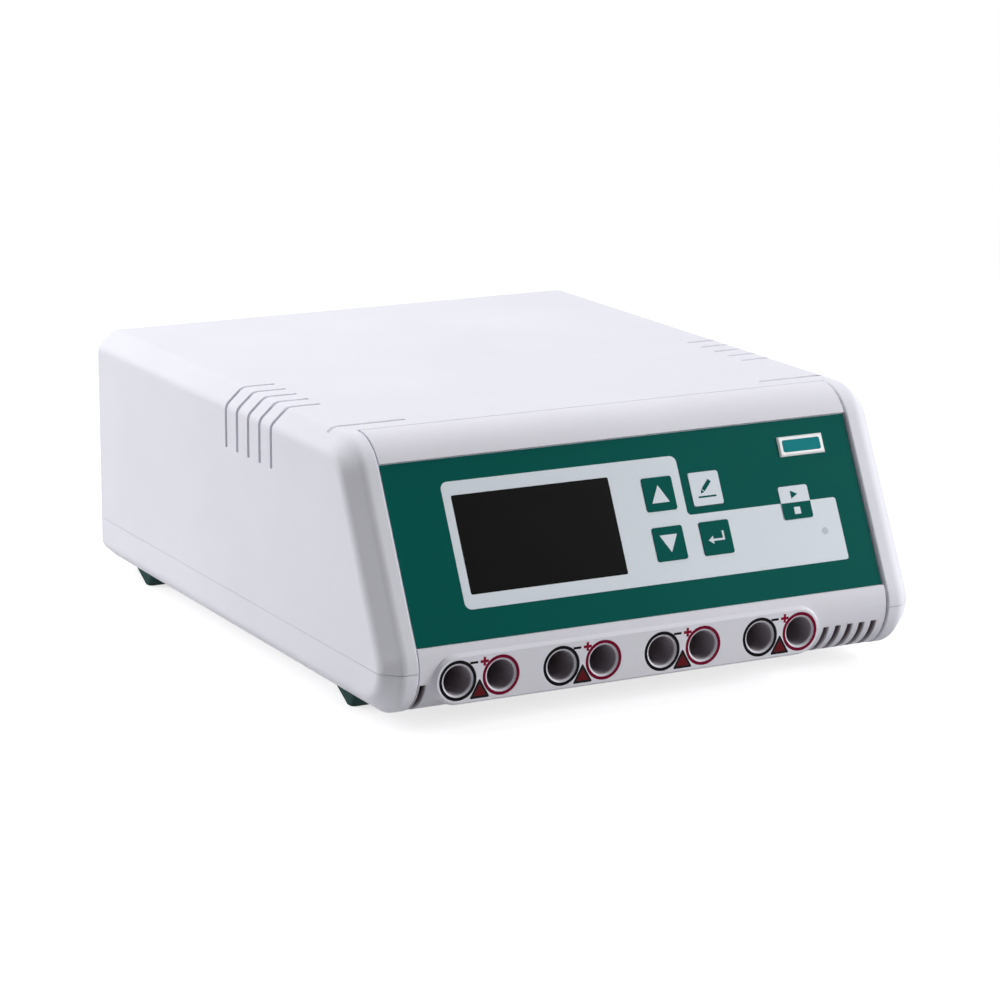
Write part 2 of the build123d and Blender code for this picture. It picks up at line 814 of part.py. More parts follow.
def inlet():
    """The mains inlet's moulding: a flange, a body, the plug's hollow and the fuse drawer's hollow."""
    wide, high, thick = inlet_flange
    flange = centred_box((inlet_x, y_panel + thick / 2, inlet_z), (wide, thick, high))
    wide, high, deep = inlet_body
    body = centred_box((inlet_x, y_panel - deep / 2, inlet_z), (wide, deep, high))
    wide, high, deep = inlet_cavity
    cavity = centred_box((inlet_x, inlet_mouth - deep / 2, cavity_z), (wide, deep, high))
    wide, high, deep = [side + 2 * drawer_gap for side in drawer_size]
    drawer_hole = centred_box((inlet_x, inlet_mouth - deep / 2, drawer_z), (wide, deep, high))
    return flange + body - cavity - drawer_hole


def inlet_pin_places():
    """Line, neutral and ground."""
    z = cavity_z - inlet_ground_lift / 2
    half = inlet_pin_pitch / 2
    return [(inlet_x - half, z), (inlet_x + half, z), (inlet_x, z + inlet_ground_lift)]


def inlet_blade(x, z):
    """One flat pin that stands up from the bottom of the hollow."""
    bottom = inlet_mouth - inlet_cavity[2]
    thick, high, long = inlet_pin
    return centred_box((x, bottom + long / 2, z), (thick, long, high))


def fuse_drawer():
    """The small drawer beside the plug's hollow, open on top for its two fuses."""
    wide, high, deep = drawer_size
    middle = inlet_mouth - deep / 2
    body = centred_box((inlet_x, middle, drawer_z), (wide, deep, high))
    hollow = (wide - 2 * drawer_wall, deep - 2 * drawer_wall, high)
    body = body - centred_box((inlet_x, middle, drawer_z + drawer_wall), hollow)
    lip_size = (wide + 2 * drawer_lip_edge, drawer_lip, high + drawer_lip_edge)
    lip = centred_box((inlet_x, inlet_mouth + drawer_lip / 2, drawer_z), lip_size)
    return body + lip


def fuse(x):
    """A glass fuse lying in the drawer."""
    z = drawer_z - drawer_size[1] / 2 + drawer_wall + fuse_radius
    return rod((x, inlet_mouth - drawer_size[2] / 2, z), fuse_radius, fuse_long, "Y")


def rocker_frame():
    """The switch's bezel and body."""
    wide, high, thick = rocker_bezel
    bezel = centred_box((rocker_x, y_panel + thick / 2, rocker_z), (wide, thick, high))
    wide, high = rocker_body
    body = centred_box((rocker_x, y_panel - rocker_body_deep / 2, rocker_z), (wide, rocker_body_deep, high))
    hollow_low = y_panel - rocker_body_deep + rocker_floor
    hollow_high = y_panel + 2 * rocker_bezel[2]
    middle = (hollow_low + hollow_high) / 2
    hollow = (rocker_hole[0], hollow_high - hollow_low, rocker_hole[1])
    frame = bezel + body - centred_box((rocker_x, middle, rocker_z), hollow)
    pin_hole = rocker_hole[1] + 2 * rocker_pin_hold + 2 * rocker_pin_end_gap
    return frame - rod((rocker_x, rocker_axis_y, rocker_z), rocker_pin_radius + screw_gap, pin_hole)


def rocker_button():
    """The rocker, tipped to its off side, with its pin."""
    long = rocker_hole[0] - 2 * rocker_end_gap
    high = rocker_hole[1] - 2 * rocker_gap
    pad = Box(long, 2 * rocker_thick, high)
    arch = Pos(0, rocker_radius + rocker_arch_lift, 0) * Cylinder(rocker_radius, high + 2)
    pin = Cylinder(rocker_pin_radius, rocker_hole[1] + 2 * rocker_pin_hold)
    return Pos(rocker_x, rocker_axis_y, rocker_z) * Rot(0, 0, -rocker_tilt) * (pad - arch + pin)


def fan_frame():
    """The fan's square frame with three arms that carry the shaft."""
    frame = centred_box((fan_x, fan_front + fan_thick / 2, fan_z), (fan_size, fan_thick, fan_size))
    frame = fillet(frame.edges().filter_by(Axis.Y), fan_corner)
    frame = frame - rod((fan_x, fan_front + fan_thick / 2, fan_z), fan_bore_radius, fan_thick + 2, "Y")
    for x, z in fan_screw_places():
        frame = frame - rod((x, fan_front, z), screw_radius, 2 * fan_thick + 2, "Y")
    arm_y = fan_front + fan_arm_thick / 2
    arm_long = fan_bore_radius + fan_arm_thick
    for i in range(4):
        arm = centred_box((arm_long / 2, 0, 0), (arm_long, fan_arm_thick, fan_arm_width))
        frame = frame + Pos(fan_x, arm_y, fan_z) * Rot(0, 90 * i + 45, 0) * arm
    frame = frame + rod((fan_x, arm_y, fan_z), fan_seat_radius, fan_arm_thick, "Y")
    shaft_long = fan_arm_thick + fan_hub_thick - fan_shaft_short
    return frame + rod((fan_x, fan_front + shaft_long / 2, fan_z), fan_shaft_radius, shaft_long, "Y")


def fan_rotor():
    """Hub and blades, running on the shaft."""
    hub_low = fan_front + fan_arm_thick + fan_hub_gap
    hub_y = hub_low + fan_hub_thick / 2
    hub = rod((fan_x, hub_y, fan_z), fan_hub_radius, fan_hub_thick, "Y")
    tip = fan_bore_radius - fan_tip_gap
    root = fan_hub_radius - fan_blade_root
    rotor = hub
    swept = rod((fan_x, hub_y, fan_z), tip, fan_hub_thick, "Y")
    for i in range(fan_blades):
        blade = Pos((root + tip + 1) / 2, 0, 0) * Rot(fan_blade_pitch, 0, 0)
        blade = blade * Box(tip + 1 - root, fan_blade_thick, fan_blade_wide)
        placed = Pos(fan_x, hub_y, fan_z) * Rot(0, 360 / fan_blades * i, 0) * blade
        rotor = rotor + (placed & swept)
    bore_long = fan_hub_thick - fan_hub_cap
    bore_radius = fan_shaft_radius + fan_shaft_gap
    return rotor - rod((fan_x, hub_low + bore_long / 2, fan_z), bore_radius, bore_long, "Y")


def fan_guard():
    """A pressed finger guard over the fan, on the outside of the rear panel."""
    rear_plane = Plane(origin=(fan_x, y_panel, fan_z), x_dir=(1, 0, 0), z_dir=(0, 1, 0))
    ring_step = (fan_bore_radius - 1) / guard_rings
    reach = fan_hole_pitch / 2 * 2**0.5
    outline = Circle(guard_hub_radius)
    for i in range(guard_rings):
        radius = ring_step * (i + 1)
        outline = outline + (Circle(radius + guard_wire) - Circle(radius - guard_wire))
    for turn in (45, 135):
        outline = outline + Rot(0, 0, turn) * Rectangle(2 * reach, 2 * guard_wire)
    half = fan_hole_pitch / 2
    eyes = [(i * half, j * half) for i in (-1, 1) for j in (-1, 1)]
    for x, z in eyes:
        outline = outline + Pos(x, z) * Circle(guard_eye_radius)
    for x, z in eyes:
        outline = outline - Pos(x, z) * Circle(screw_radius + hole_gap)
    return extrude(rear_plane * outline, 2 * guard_wire)


def fan_screw(x, z):
    """A long screw from outside through the guard, the rear panel and the fan."""
    seat = y_panel + 2 * guard_wire
    head = rod((x, seat + fan_screw_head / 2, z), screw_head_radius, fan_screw_head, "Y")
    long = fan_thick + rear_sheet + 2 * guard_wire - fan_screw_short
    return head + rod((x, seat - long / 2, z), screw_radius - screw_gap, long, "Y")


def main_board():
    """The main circuit board on its standoffs."""
    board = centred_box((board_x, board_y, board_low + board_thick / 2), (*main_board_size, board_thick))
    for x, y in standoff_places():
        board = board - rod((x, y, board_low), screw_radius + hole_gap, 4 * board_thick)
    return board


def ei_core(centre, size, window):
    """A laminated core: a block with two windows beside its middle leg."""
    x, y, z = centre
    core = centred_box(centre, size)
    leg = size[0] / 2 - window[0] * 1.5
    for side in (-1, 1):
        wx = x + side * (leg / 2 + window[0] * 0.5 + window[0] * 0.25)
        core = core - centred_box((wx, y, z), (window[0], size[1] + 2, window[1]))
    return core


def ei_winding(centre, size, window, bulge):
    """The winding round the middle leg, bulging out of the core in front and behind."""
    leg = size[0] / 2 - window[0] * 1.5
    inner_x = leg / 2 + window[0] * 0.25
    outer_x = inner_x + window[0]
    long_y = size[1] + 2 * bulge
    high = window[1] - 2 * winding_gap
    coil = centred_box(centre, (2 * (outer_x - winding_gap), long_y, high))
    coil = fillet(coil.edges().filter_by(Axis.Z), bulge * 0.8)
    return coil - centred_box(centre, (2 * (inner_x + winding_gap), size[1] + 2 * winding_gap, high + 2))


def transformer_strap():
    """A steel strap over the core, with a screwed foot on each side."""
    x, y, z = core_centre
    top = z + core_size[2] / 2
    half = core_size[0] / 2
    low = floor + strap_pad
    side = half + strap_thick
    strap = solid_box((x - side, y - strap_wide / 2, low), (x + side, y + strap_wide / 2, top + strap_thick))
    strap = strap - solid_box((x - half, y - strap_wide, low - 1), (x + half, y + strap_wide, top))
    for px, py in strap_places():
        strap = strap + centred_box((px, py, low + strap_thick / 2), (strap_foot, strap_wide, strap_thick))
    for px, py in strap_places():
        strap = strap - rod((px, py, low), screw_radius + hole_gap, 4 * strap_thick)
    return strap


def heat_sink():
    """A finned block that stands on the main board."""
    deep, long, high = sink_size
    front = board_y + sink_y - long / 2
    top = board_top + high
    sink = solid_box((sink_x, front, board_top), (sink_x + sink_base, front + long, top))
    pitch = (long - sink_fin_thick) / (sink_fins - 1)
    fin_end = sink_x + sink_base - deep
    for i in range(sink_fins):
        fin_y = front + i * pitch
        sink = sink + solid_box((fin_end, fin_y, board_top), (sink_x + 1, fin_y + sink_fin_thick, top))
    return sink


def transistor(i):
    """A power transistor against the heat sink, standing on its legs."""
    thick, wide, high = transistor_size
    x = sink_x + sink_base + thick / 2
    y = board_y + sink_y + (i - (transistor_count - 1) / 2) * transistor_pitch
    leg = transistor_leg[2]
    body = centred_box((x, y, board_top + leg + high / 2), transistor_size)
    for j in (-1, 0, 1):
        body = body + centred_box((x, y + j * transistor_leg_pitch, board_top + leg / 2), transistor_leg)
    return body


def capacitor(x, y, radius, tall):
    """A filter capacitor with its rolled groove."""
    x = board_x + x
    y = board_y + y
    lift, wide, deep = capacitor_groove
    can = rod((x, y, board_top + tall / 2), radius, tall)
    middle = (x, y, board_top + lift)
    can = can - (rod(middle, radius + 1, wide) - rod(middle, radius - deep, 2 * wide))
    return fillet(can.edges().filter_by(GeomType.CIRCLE).sort_by(Axis.Z)[-1], capacitor_edge)


def terminal_block():
    """The mains terminal block, with its wire holes."""
    x = board_x + block_at[0]
    y = board_y + block_at[1]
    top = board_top + block_size[2]
    block = centred_box((x, y, board_top + block_size[2] / 2), block_size)
    wire_y = y + block_size[1] / 2
    for i in range(block_ways):
        hole_x = x + (i - (block_ways - 1) / 2) * block_pitch
        wire = (hole_x, wire_y, board_top + block_wire_lift)
        block = block - rod(wire, block_wire_radius, block_size[1] + block_wire_lift, "Y")
        block = block - rod((hole_x, y, top), block_screw_radius, 2 * block_screw_deep)
    return block


def header_centre():
    """The plug on the main board's front edge for the ribbon."""
    y = board_y - main_board_size[1] / 2 + header_size[1]
    return (board_x + ribbon_at, y, board_top + header_size[2] / 2)


def relay(x, y):
    """A relay on the main board."""
    return centred_box((board_x + x, board_y + y, board_top + relay_size[2] / 2), relay_size)


def ribbon_cable():
    """The flat ribbon from the main board's header up to the display board."""
    x, y, z = header_centre()
    start_z = z + header_size[2] / 2
    board_back = board_front - board_thick
    end = on_slope(0, display_board_v, board_back).position
    near = on_slope(0, display_board_v, board_back - ribbon_back).position
    points = [(0, y, start_z), (0, y, start_z + ribbon_rise), (0, near.Y, near.Z), (0, end.Y, end.Z)]
    line = FilletPolyline(*points, radius=ribbon_bend)
    start = Plane(origin=points[0], x_dir=(1, 0, 0), z_dir=(0, 0, 1))
    return Pos(x, 0, 0) * sweep(start * Rectangle(ribbon_width, ribbon_thick), path=line)


save("upper_cover", upper_cover())
save("lower_tray", lower_tray())
save("front_bezel", front_bezel())
save("terminal_panel", terminal_panel())
save("membrane_overlay", membrane_overlay())
save("display_window", slope_slab(window_centre, window_size, -window_thick, 0))
save("lcd_module", slope_slab(window_centre, lcd_size, board_front, bezel_back))
save("display_board", display_board())
save("display_screws", group([display_screw(u, v) for u, v in display_screw_places()]))
for name, centre in key_centres.items():
    save(name, key(centre))
save("key_switches", group([key_switch(c) for c in key_centres.values()]))
save("badge_plate", badge_plate())
save("socket_rings_black", group([ring(x) for x in minus_xs]))
save("socket_rings_red", group([ring(x) for x in plus_xs]))
save("socket_wells", group([socket_well(x) for x in all_xs]))
save("socket_contacts", group([contact(x) for x in all_xs]))
save("socket_spacers", group([spacer(x) for x in all_xs]))
save("socket_nuts", group([jack_nut(x) for x in all_xs]))
save("output_board", output_board())
save("feet", group([foot(x, y) for x, y in foot_places()]))
save("foot_screws", group([foot_screw(x, y) for x, y in foot_places()]))
case_screw_seat = underside + case_screw_recess
case_screw_long = parting_height + case_screw_grip - case_screw_seat
save("case_screws", group([screw(x, y, case_screw_seat, case_screw_long) for x, y in boss_places]))
save("rear_panel", rear_panel())
save("rear_screws", group([rear_screw(x, z) for x, z in rear_screw_places()]))
save("inlet_body", inlet())
save("inlet_pins", group([inlet_blade(x, z) for x, z in inlet_pin_places()]))
save("fuse_drawer", fuse_drawer())
save("fuses", group([fuse(inlet_x - fuse_pitch / 2), fuse(inlet_x + fuse_pitch / 2)]))
save("rocker_frame", rocker_frame())
save("rocker_button", rocker_button())
save("fan_frame", fan_frame())
save("fan_rotor", fan_rotor())
save("fan_guard", fan_guard())
save("fan_screws", group([fan_screw(x, z) for x, z in fan_screw_places()]))
save("main_board", main_board())
board_screws = [screw(*place, board_top, board_screw_long, up=False) for place in standoff_places()]
save("board_screws", group(board_screws))
save("transformer_core", ei_core(core_centre, core_size, core_window))
save("transformer_winding", ei_winding(core_centre, core_size, core_window, winding_bulge))
save("transformer_strap", transformer_strap())
strap_seat = floor + strap_pad + strap_thick
strap_screw_long = strap_thick + strap_screw_grip - screw_end_gap
strap_screws = [screw(*place, strap_seat, strap_screw_long, up=False) for place in strap_places()]
save("transformer_screws", group(strap_screws))
save("high_voltage_core", ei_core(hv_centre, hv_core_size, hv_window))
save("high_voltage_winding", ei_winding(hv_centre, hv_core_size, hv_window, hv_bulge))
save("heat_sink", heat_sink())
save("power_transistors", group([transistor(i) for i in range(transistor_count)]))
save("filter_capacitors", group([capacitor(*place) for place in capacitors]))
save("relays", group([relay(*place) for place in relay_places]))
save("terminal_block", terminal_block())
save("ribbon_header", centred_box(header_centre(), header_size))
save("ribbon_cable", ribbon_cable())
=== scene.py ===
# %% [markdown]
# # A bench power supply for gel work
# The case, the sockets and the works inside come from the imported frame, at their real sizes. This lesson adds what
# a drawing office leaves to the eye: the finish of every piece, the print on the sheet and keys, the marks beside
# the sockets and the recesses in the screws. The frame is loaded first, and nothing in it is moved.

# %% Load the frame
import bmesh
import bpy
from math import cos, pi, radians, sin
from mathutils import Matrix, Vector


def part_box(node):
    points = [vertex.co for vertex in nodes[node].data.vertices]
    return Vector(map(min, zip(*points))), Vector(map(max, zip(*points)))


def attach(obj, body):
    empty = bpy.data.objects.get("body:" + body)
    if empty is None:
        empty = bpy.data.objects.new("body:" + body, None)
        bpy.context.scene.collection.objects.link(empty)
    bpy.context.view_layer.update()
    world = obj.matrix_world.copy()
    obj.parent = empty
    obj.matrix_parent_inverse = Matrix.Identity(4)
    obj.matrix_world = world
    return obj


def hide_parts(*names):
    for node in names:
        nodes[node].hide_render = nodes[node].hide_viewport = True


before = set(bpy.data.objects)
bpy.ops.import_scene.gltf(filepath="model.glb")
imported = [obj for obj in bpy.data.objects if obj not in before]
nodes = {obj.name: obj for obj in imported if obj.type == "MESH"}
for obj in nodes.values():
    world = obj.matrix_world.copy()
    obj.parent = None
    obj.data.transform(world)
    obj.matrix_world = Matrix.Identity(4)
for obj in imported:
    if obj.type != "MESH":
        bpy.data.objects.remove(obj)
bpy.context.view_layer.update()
MM = 0.001

# %% [markdown]
# ## Camera
# The picture was taken from the front left, a little above the lid. The camera's place and axes were worked out
# from the corners of the case, so they are set as a matrix rather than aimed by hand. A long lens keeps the sides
# nearly parallel, as in the picture.

# %% Set the camera
camera_data = bpy.data.cameras.new("view")
camera_data.sensor_width = 36.0
camera_data.lens = 127.15
camera_data.clip_end = 30.0
camera = bpy.data.objects.new("view", camera_data)
bpy.context.scene.collection.objects.link(camera)
right = Vector((0.8840945, -0.46729512, 0.00349136))
up = Vector((0.10569971, 0.20724396, 0.97256234))
forward = Vector((0.4551972, 0.85946798, -0.2326162))
camera.matrix_world = Matrix.Translation((-0.69316, -1.31857, 0.40805)) @ Matrix(
    (right, up, -forward)
).transposed().to_4x4()
bpy.context.scene.camera = camera
print("camera at", [round(value, 3) for value in camera.matrix_world.translation])

# %% [markdown]
# ## Light
# A studio picture on white has big soft lamps. One stands behind the left side, one to the right of the front and
# one overhead, and the pale floor throws their light back up. The slanting cheek at the front left faces none of
# them, and is the darkest part of the case, as in the picture. The world fills in a little, and shows as white only
# to the camera, to reflections and through clear parts.

# %% Light the stage
world = bpy.data.worlds.new("studio")
world.use_nodes = True
bpy.context.scene.world = world
world_fill = 0.03
white = (1.0, 1.0, 1.0, 1.0)


def add(tree, kind, **values):
    """A new node, with its settings and its unlinked inputs given by name."""
    node = tree.nodes.new(kind)
    for name, value in values.items():
        if hasattr(node, name):
            setattr(node, name, value)
        else:
            node.inputs[name.replace("_", " ")].default_value = value
    return node


def join(tree, output, entry):
    """A link from one socket to another."""
    tree.links.new(output, entry)


def seen_directly(tree):
    """1 for the camera, for reflections and through clear parts, and 0 for light that falls on things."""
    path = add(tree, "ShaderNodeLightPath")
    first = add(tree, "ShaderNodeMath", operation="MAXIMUM")
    both = add(tree, "ShaderNodeMath", operation="MAXIMUM")
    join(tree, path.outputs["Is Camera Ray"], first.inputs[0])
    join(tree, path.outputs["Is Glossy Ray"], first.inputs[1])
    join(tree, first.outputs[0], both.inputs[0])
    join(tree, path.outputs["Is Transmission Ray"], both.inputs[1])
    return both.outputs[0]


backdrop = world.node_tree.nodes["Background"]
backdrop.inputs["Color"].default_value = white
strength = add(world.node_tree, "ShaderNodeMapRange", To_Min=world_fill, To_Max=1.0)
join(world.node_tree, seen_directly(world.node_tree), strength.inputs["Value"])
join(world.node_tree, strength.outputs["Result"], backdrop.inputs["Strength"])


def lamp(name, place, target, size, power):
    """A square soft lamp that points at a target."""
    data = bpy.data.lights.new(name, "AREA")
    data.size = size
    data.energy = power
    holder = bpy.data.objects.new(name, data)
    bpy.context.scene.collection.objects.link(holder)
    way = Vector(target) - Vector(place)
    holder.matrix_world = Matrix.Translation(place) @ way.to_track_quat("-Z", "Y").to_matrix().to_4x4()
    return holder


middle_of_case = (0.0, 0.0, 0.05)
lamps = [
    lamp("behind_left", (-1.1, 0.65, 0.66), middle_of_case, 1.0, 12.2),
    lamp("front_right", (1.1, -0.8, 0.6), (0.0, -0.1, 0.05), 1.0, 16.2),
    lamp("above", (-0.2, 0.5, 1.5), middle_of_case, 1.2, 14.0),
]
print("lamps", len(lamps))

# %% [markdown]
# ## Floor
# The floor is a sheet of pale board that rises behind into a backdrop. It is a plane whose rear edge is extruded
# upwards and bevelled into a sweep. Near the object it takes a real shadow, and a glow that only the camera sees
# lifts it to white. Farther out the glow takes over altogether, so that the board never darkens away from the
# lamps.

# %% Build the floor


def deselect():
    """Nothing selected, so an operator acts only on what comes next."""
    bpy.ops.object.select_all(action="DESELECT")


def alone(piece):
    """The piece alone selected, and active."""
    deselect()
    piece.select_set(True)
    bpy.context.view_layer.objects.active = piece


def edit(piece):
    """The piece alone, in edit mode, with nothing in it selected."""
    alone(piece)
    bpy.ops.object.mode_set(mode="EDIT")
    bpy.ops.mesh.select_all(action="DESELECT")


def done():
    """Back to object mode."""
    bpy.ops.object.mode_set(mode="OBJECT")


def take_all():
    """Everything in the piece selected, in edit mode."""
    bpy.ops.mesh.select_all(action="SELECT")


def pull(*way):
    """What is selected, extruded by a distance along each axis."""
    bpy.ops.mesh.extrude_region_move(TRANSFORM_OT_translate={"value": way})


def keep_place():
    """The object's place, turn and size written into its mesh, so the object stands at the origin."""
    bpy.ops.object.transform_apply(location=True, rotation=True, scale=True)


def choose(piece, kind, test):
    """Selects the points, edges or faces whose middle passes a test, in edit mode."""
    bpy.ops.mesh.select_mode(type=kind)
    shape = bmesh.from_edit_mesh(piece.data)
    parts = {"VERT": shape.verts, "EDGE": shape.edges, "FACE": shape.faces}[kind]
    count = 0
    for part in parts:
        if kind == "VERT":
            middle = part.co
        elif kind == "EDGE":
            middle = (part.verts[0].co + part.verts[1].co) / 2
        else:
            middle = part.calc_center_median()
        if test(middle):
            part.select_set(True)
            count += 1
    shape.select_flush_mode()
    bmesh.update_edit_mesh(piece.data)
    return count


deselect()
bpy.ops.mesh.primitive_plane_add(size=1.0, location=(0.0, 0.0, 0.0))
floor = bpy.context.object
floor.name = "floor"
floor_side = 9.0
backdrop_from = floor_side / 2 - 0.1
floor.scale = (floor_side, floor_side, 1.0)
keep_place()
edit(floor)
choose(floor, "EDGE", lambda middle: middle.y > backdrop_from)
pull(0.0, 0.0, 4.0)
bpy.ops.mesh.select_all(action="DESELECT")
choose(floor, "EDGE", lambda middle: middle.y > backdrop_from and middle.z < 0.1)
bpy.ops.mesh.bevel(offset=1.5, segments=16, affect="EDGES")
done()
bpy.ops.object.shade_smooth()

board = bpy.data.materials.new("pale_board")
board.use_nodes = True
tree = board.node_tree
matt = tree.nodes["Principled BSDF"]
matt.inputs["Roughness"].default_value = 0.9
matt.inputs["Specular IOR Level"].default_value = 0.0
matt.inputs["Emission Color"].default_value = white
place = add(tree, "ShaderNodeTexCoord")
reach = add(tree, "ShaderNodeVectorMath", operation="LENGTH")
join(tree, place.outputs["Object"], reach.inputs[0])
far_off = add(tree, "ShaderNodeMapRange", From_Min=0.35, From_Max=1.1, interpolation_type="SMOOTHSTEP")
join(tree, reach.outputs["Value"], far_off.inputs["Value"])
paper = add(tree, "ShaderNodeMix", data_type="RGBA")
near_colour, far_colour = paper.inputs[6], paper.inputs[7]
near_colour.default_value = (0.6, 0.6, 0.605, 1.0)
far_colour.default_value = (0.0, 0.0, 0.0, 1.0)
join(tree, far_off.outputs["Result"], paper.inputs["Factor"])
join(tree, paper.outputs[2], matt.inputs["Base Color"])
lift = add(tree, "ShaderNodeMapRange", To_Min=0.72, To_Max=1.0)
join(tree, far_off.outputs["Result"], lift.inputs["Value"])
glow = add(tree, "ShaderNodeMath", operation="MULTIPLY")
join(tree, lift.outputs["Result"], glow.inputs[1])
join(tree, seen_directly(tree), glow.inputs[0])
join(tree, glow.outputs[0], matt.inputs["Emission Strength"])
floor.data.materials.append(board)
print("floor points", len(floor.data.vertices))

# %% [markdown]
# ## Shared effects
# Moulded plastic is never one flat colour. It has a fine grain from the tool, tones that drift slowly across a
# face, and edges that are a little rounded and polished by handling. Each effect is a node group with named inputs,
# built once and placed in every material with its own values. All read Object coordinates in metres, so a grain of
# 0.4 mm is the same size on every piece.

# %% Moulded skin group


def group_of(name, inputs, outputs):
    """A node group with named sockets. An input is (name, kind, value) and an output is (name, kind)."""
    tree = bpy.data.node_groups.new(name, "ShaderNodeTree")
    for label, kind, value in inputs:
        socket = tree.interface.new_socket(name=label, in_out="INPUT", socket_type="NodeSocket" + kind)
        socket.default_value = value
    for label, kind in outputs:
        tree.interface.new_socket(name=label, in_out="OUTPUT", socket_type="NodeSocket" + kind)
    return tree, tree.nodes.new("NodeGroupInput"), tree.nodes.new("NodeGroupOutput")


def noise_at(tree, scale, detail=2.0, stretch=None):
    """Noise on Object coordinates, with its scale from a value or a socket."""
    place = add(tree, "ShaderNodeTexCoord")
    point = place.outputs["Object"]
    if stretch:
        mapping = add(tree, "ShaderNodeMapping", Scale=stretch)
        join(tree, point, mapping.inputs["Vector"])
        point = mapping.outputs["Vector"]
    noise = add(tree, "ShaderNodeTexNoise", Detail=detail)
    join(tree, point, noise.inputs["Vector"])
    if isinstance(scale, (int, float)):
        noise.inputs["Scale"].default_value = scale
    else:
        join(tree, scale, noise.inputs["Scale"])
    return noise.outputs["Fac"]


def remap(tree, value, low, high, to_low, to_high):
    """A value moved from one range to another, where each end is a number or a socket."""
    node = add(tree, "ShaderNodeMapRange", From_Min=low, From_Max=high)
    join(tree, value, node.inputs["Value"])
    for label, end in (("To Min", to_low), ("To Max", to_high)):
        if isinstance(end, (int, float)):
            node.inputs[label].default_value = end
        else:
            join(tree, end, node.inputs[label])
    return node.outputs["Result"]


def math(tree, operation, first, second):
    """Two values put through one operation, where each is a number or a socket."""
    node = add(tree, "ShaderNodeMath", operation=operation)
    for entry, value in zip(node.inputs, (first, second)):
        if isinstance(value, (int, float)):
            entry.default_value = value
        else:
            join(tree, value, entry)
    return node.outputs[0]


def blend_colours(tree, amount, first, second, kind="MIX"):
    """Two colours mixed by an amount, where each is a value or a socket."""
    node = add(tree, "ShaderNodeMix", data_type="RGBA", blend_type=kind)
    for entry, value in ((node.inputs["Factor"], amount), (node.inputs[6], first), (node.inputs[7], second)):
        if isinstance(value, (int, float, tuple)):
            entry.default_value = value
        else:
            join(tree, value, entry)
    return node.outputs[2]


def as_grey(tree, value):
    """A value given to all three channels of a colour."""
    grey = add(tree, "ShaderNodeCombineColor")
    for channel in grey.inputs:
        join(tree, value, channel)
    return grey.outputs[0]


skin_group, entry, result = group_of(
    "moulded_skin",
    [
        ("Colour", "Color", (0.8, 0.8, 0.8, 1.0)),
        ("Tone", "Float", 0.05),
        ("Drift", "Float", 14.0),
        ("Grain", "Float", 1600.0),
        ("Roughness", "Float", 0.5),
    ],
    [("Colour", "Color"), ("Roughness", "Float"), ("Height", "Float")],
)
drift = noise_at(skin_group, entry.outputs["Drift"], detail=3.0)
less = math(skin_group, "SUBTRACT", 1.0, entry.outputs["Tone"])
more = math(skin_group, "ADD", 1.0, entry.outputs["Tone"])
shade = remap(skin_group, drift, 0.3, 0.7, less, more)
toned = blend_colours(skin_group, 1.0, entry.outputs["Colour"], as_grey(skin_group, shade), "MULTIPLY")
join(skin_group, toned, result.inputs["Colour"])
handled = remap(skin_group, noise_at(skin_group, 45.0, detail=4.0), 0.35, 0.65, 0.92, 1.1)
join(skin_group, math(skin_group, "MULTIPLY", entry.outputs["Roughness"], handled), result.inputs["Roughness"])
join(skin_group, noise_at(skin_group, entry.outputs["Grain"]), result.inputs["Height"])
print("skin group nodes", len(skin_group.nodes))

# %% [markdown]
# Edge wear compares the true face direction with one that is averaged round a small radius. They differ only near
# an edge, so the difference is a mask, and a patchy noise keeps it from running evenly along the whole edge. The
# averaged direction is also given out, so that edges catch the light as if they had a small radius.

# %% Edge wear group
edge_group, entry, result = group_of(
    "worn_edge",
    [("Radius", "Float", 0.0004), ("Amount", "Float", 0.4)],
    [("Wear", "Float"), ("Normal", "Vector")],
)
rounded = add(edge_group, "ShaderNodeBevel", samples=4)
join(edge_group, entry.outputs["Radius"], rounded.inputs["Radius"])
facing = add(edge_group, "ShaderNodeNewGeometry")
agree = add(edge_group, "ShaderNodeVectorMath", operation="DOT_PRODUCT")
join(edge_group, rounded.outputs["Normal"], agree.inputs[0])
join(edge_group, facing.outputs["Normal"], agree.inputs[1])
near_edge = remap(edge_group, agree.outputs["Value"], 1.0, 0.85, 0.0, 1.0)
patchy = remap(edge_group, noise_at(edge_group, 160.0, detail=5.0), 0.4, 0.65, 0.35, 1.0)
masked = math(edge_group, "MULTIPLY", near_edge, patchy)
join(edge_group, math(edge_group, "MULTIPLY", masked, entry.outputs["Amount"]), result.inputs["Wear"])
join(edge_group, rounded.outputs["Normal"], result.inputs["Normal"])
print("edge group nodes", len(edge_group.nodes))

# %% [markdown]
# Drawn and rolled metal has fine lines all one way. The same noise as before, squeezed along two axes and left long
# along the third, gives lines. They change both the roughness and the height, so highlights streak across them.

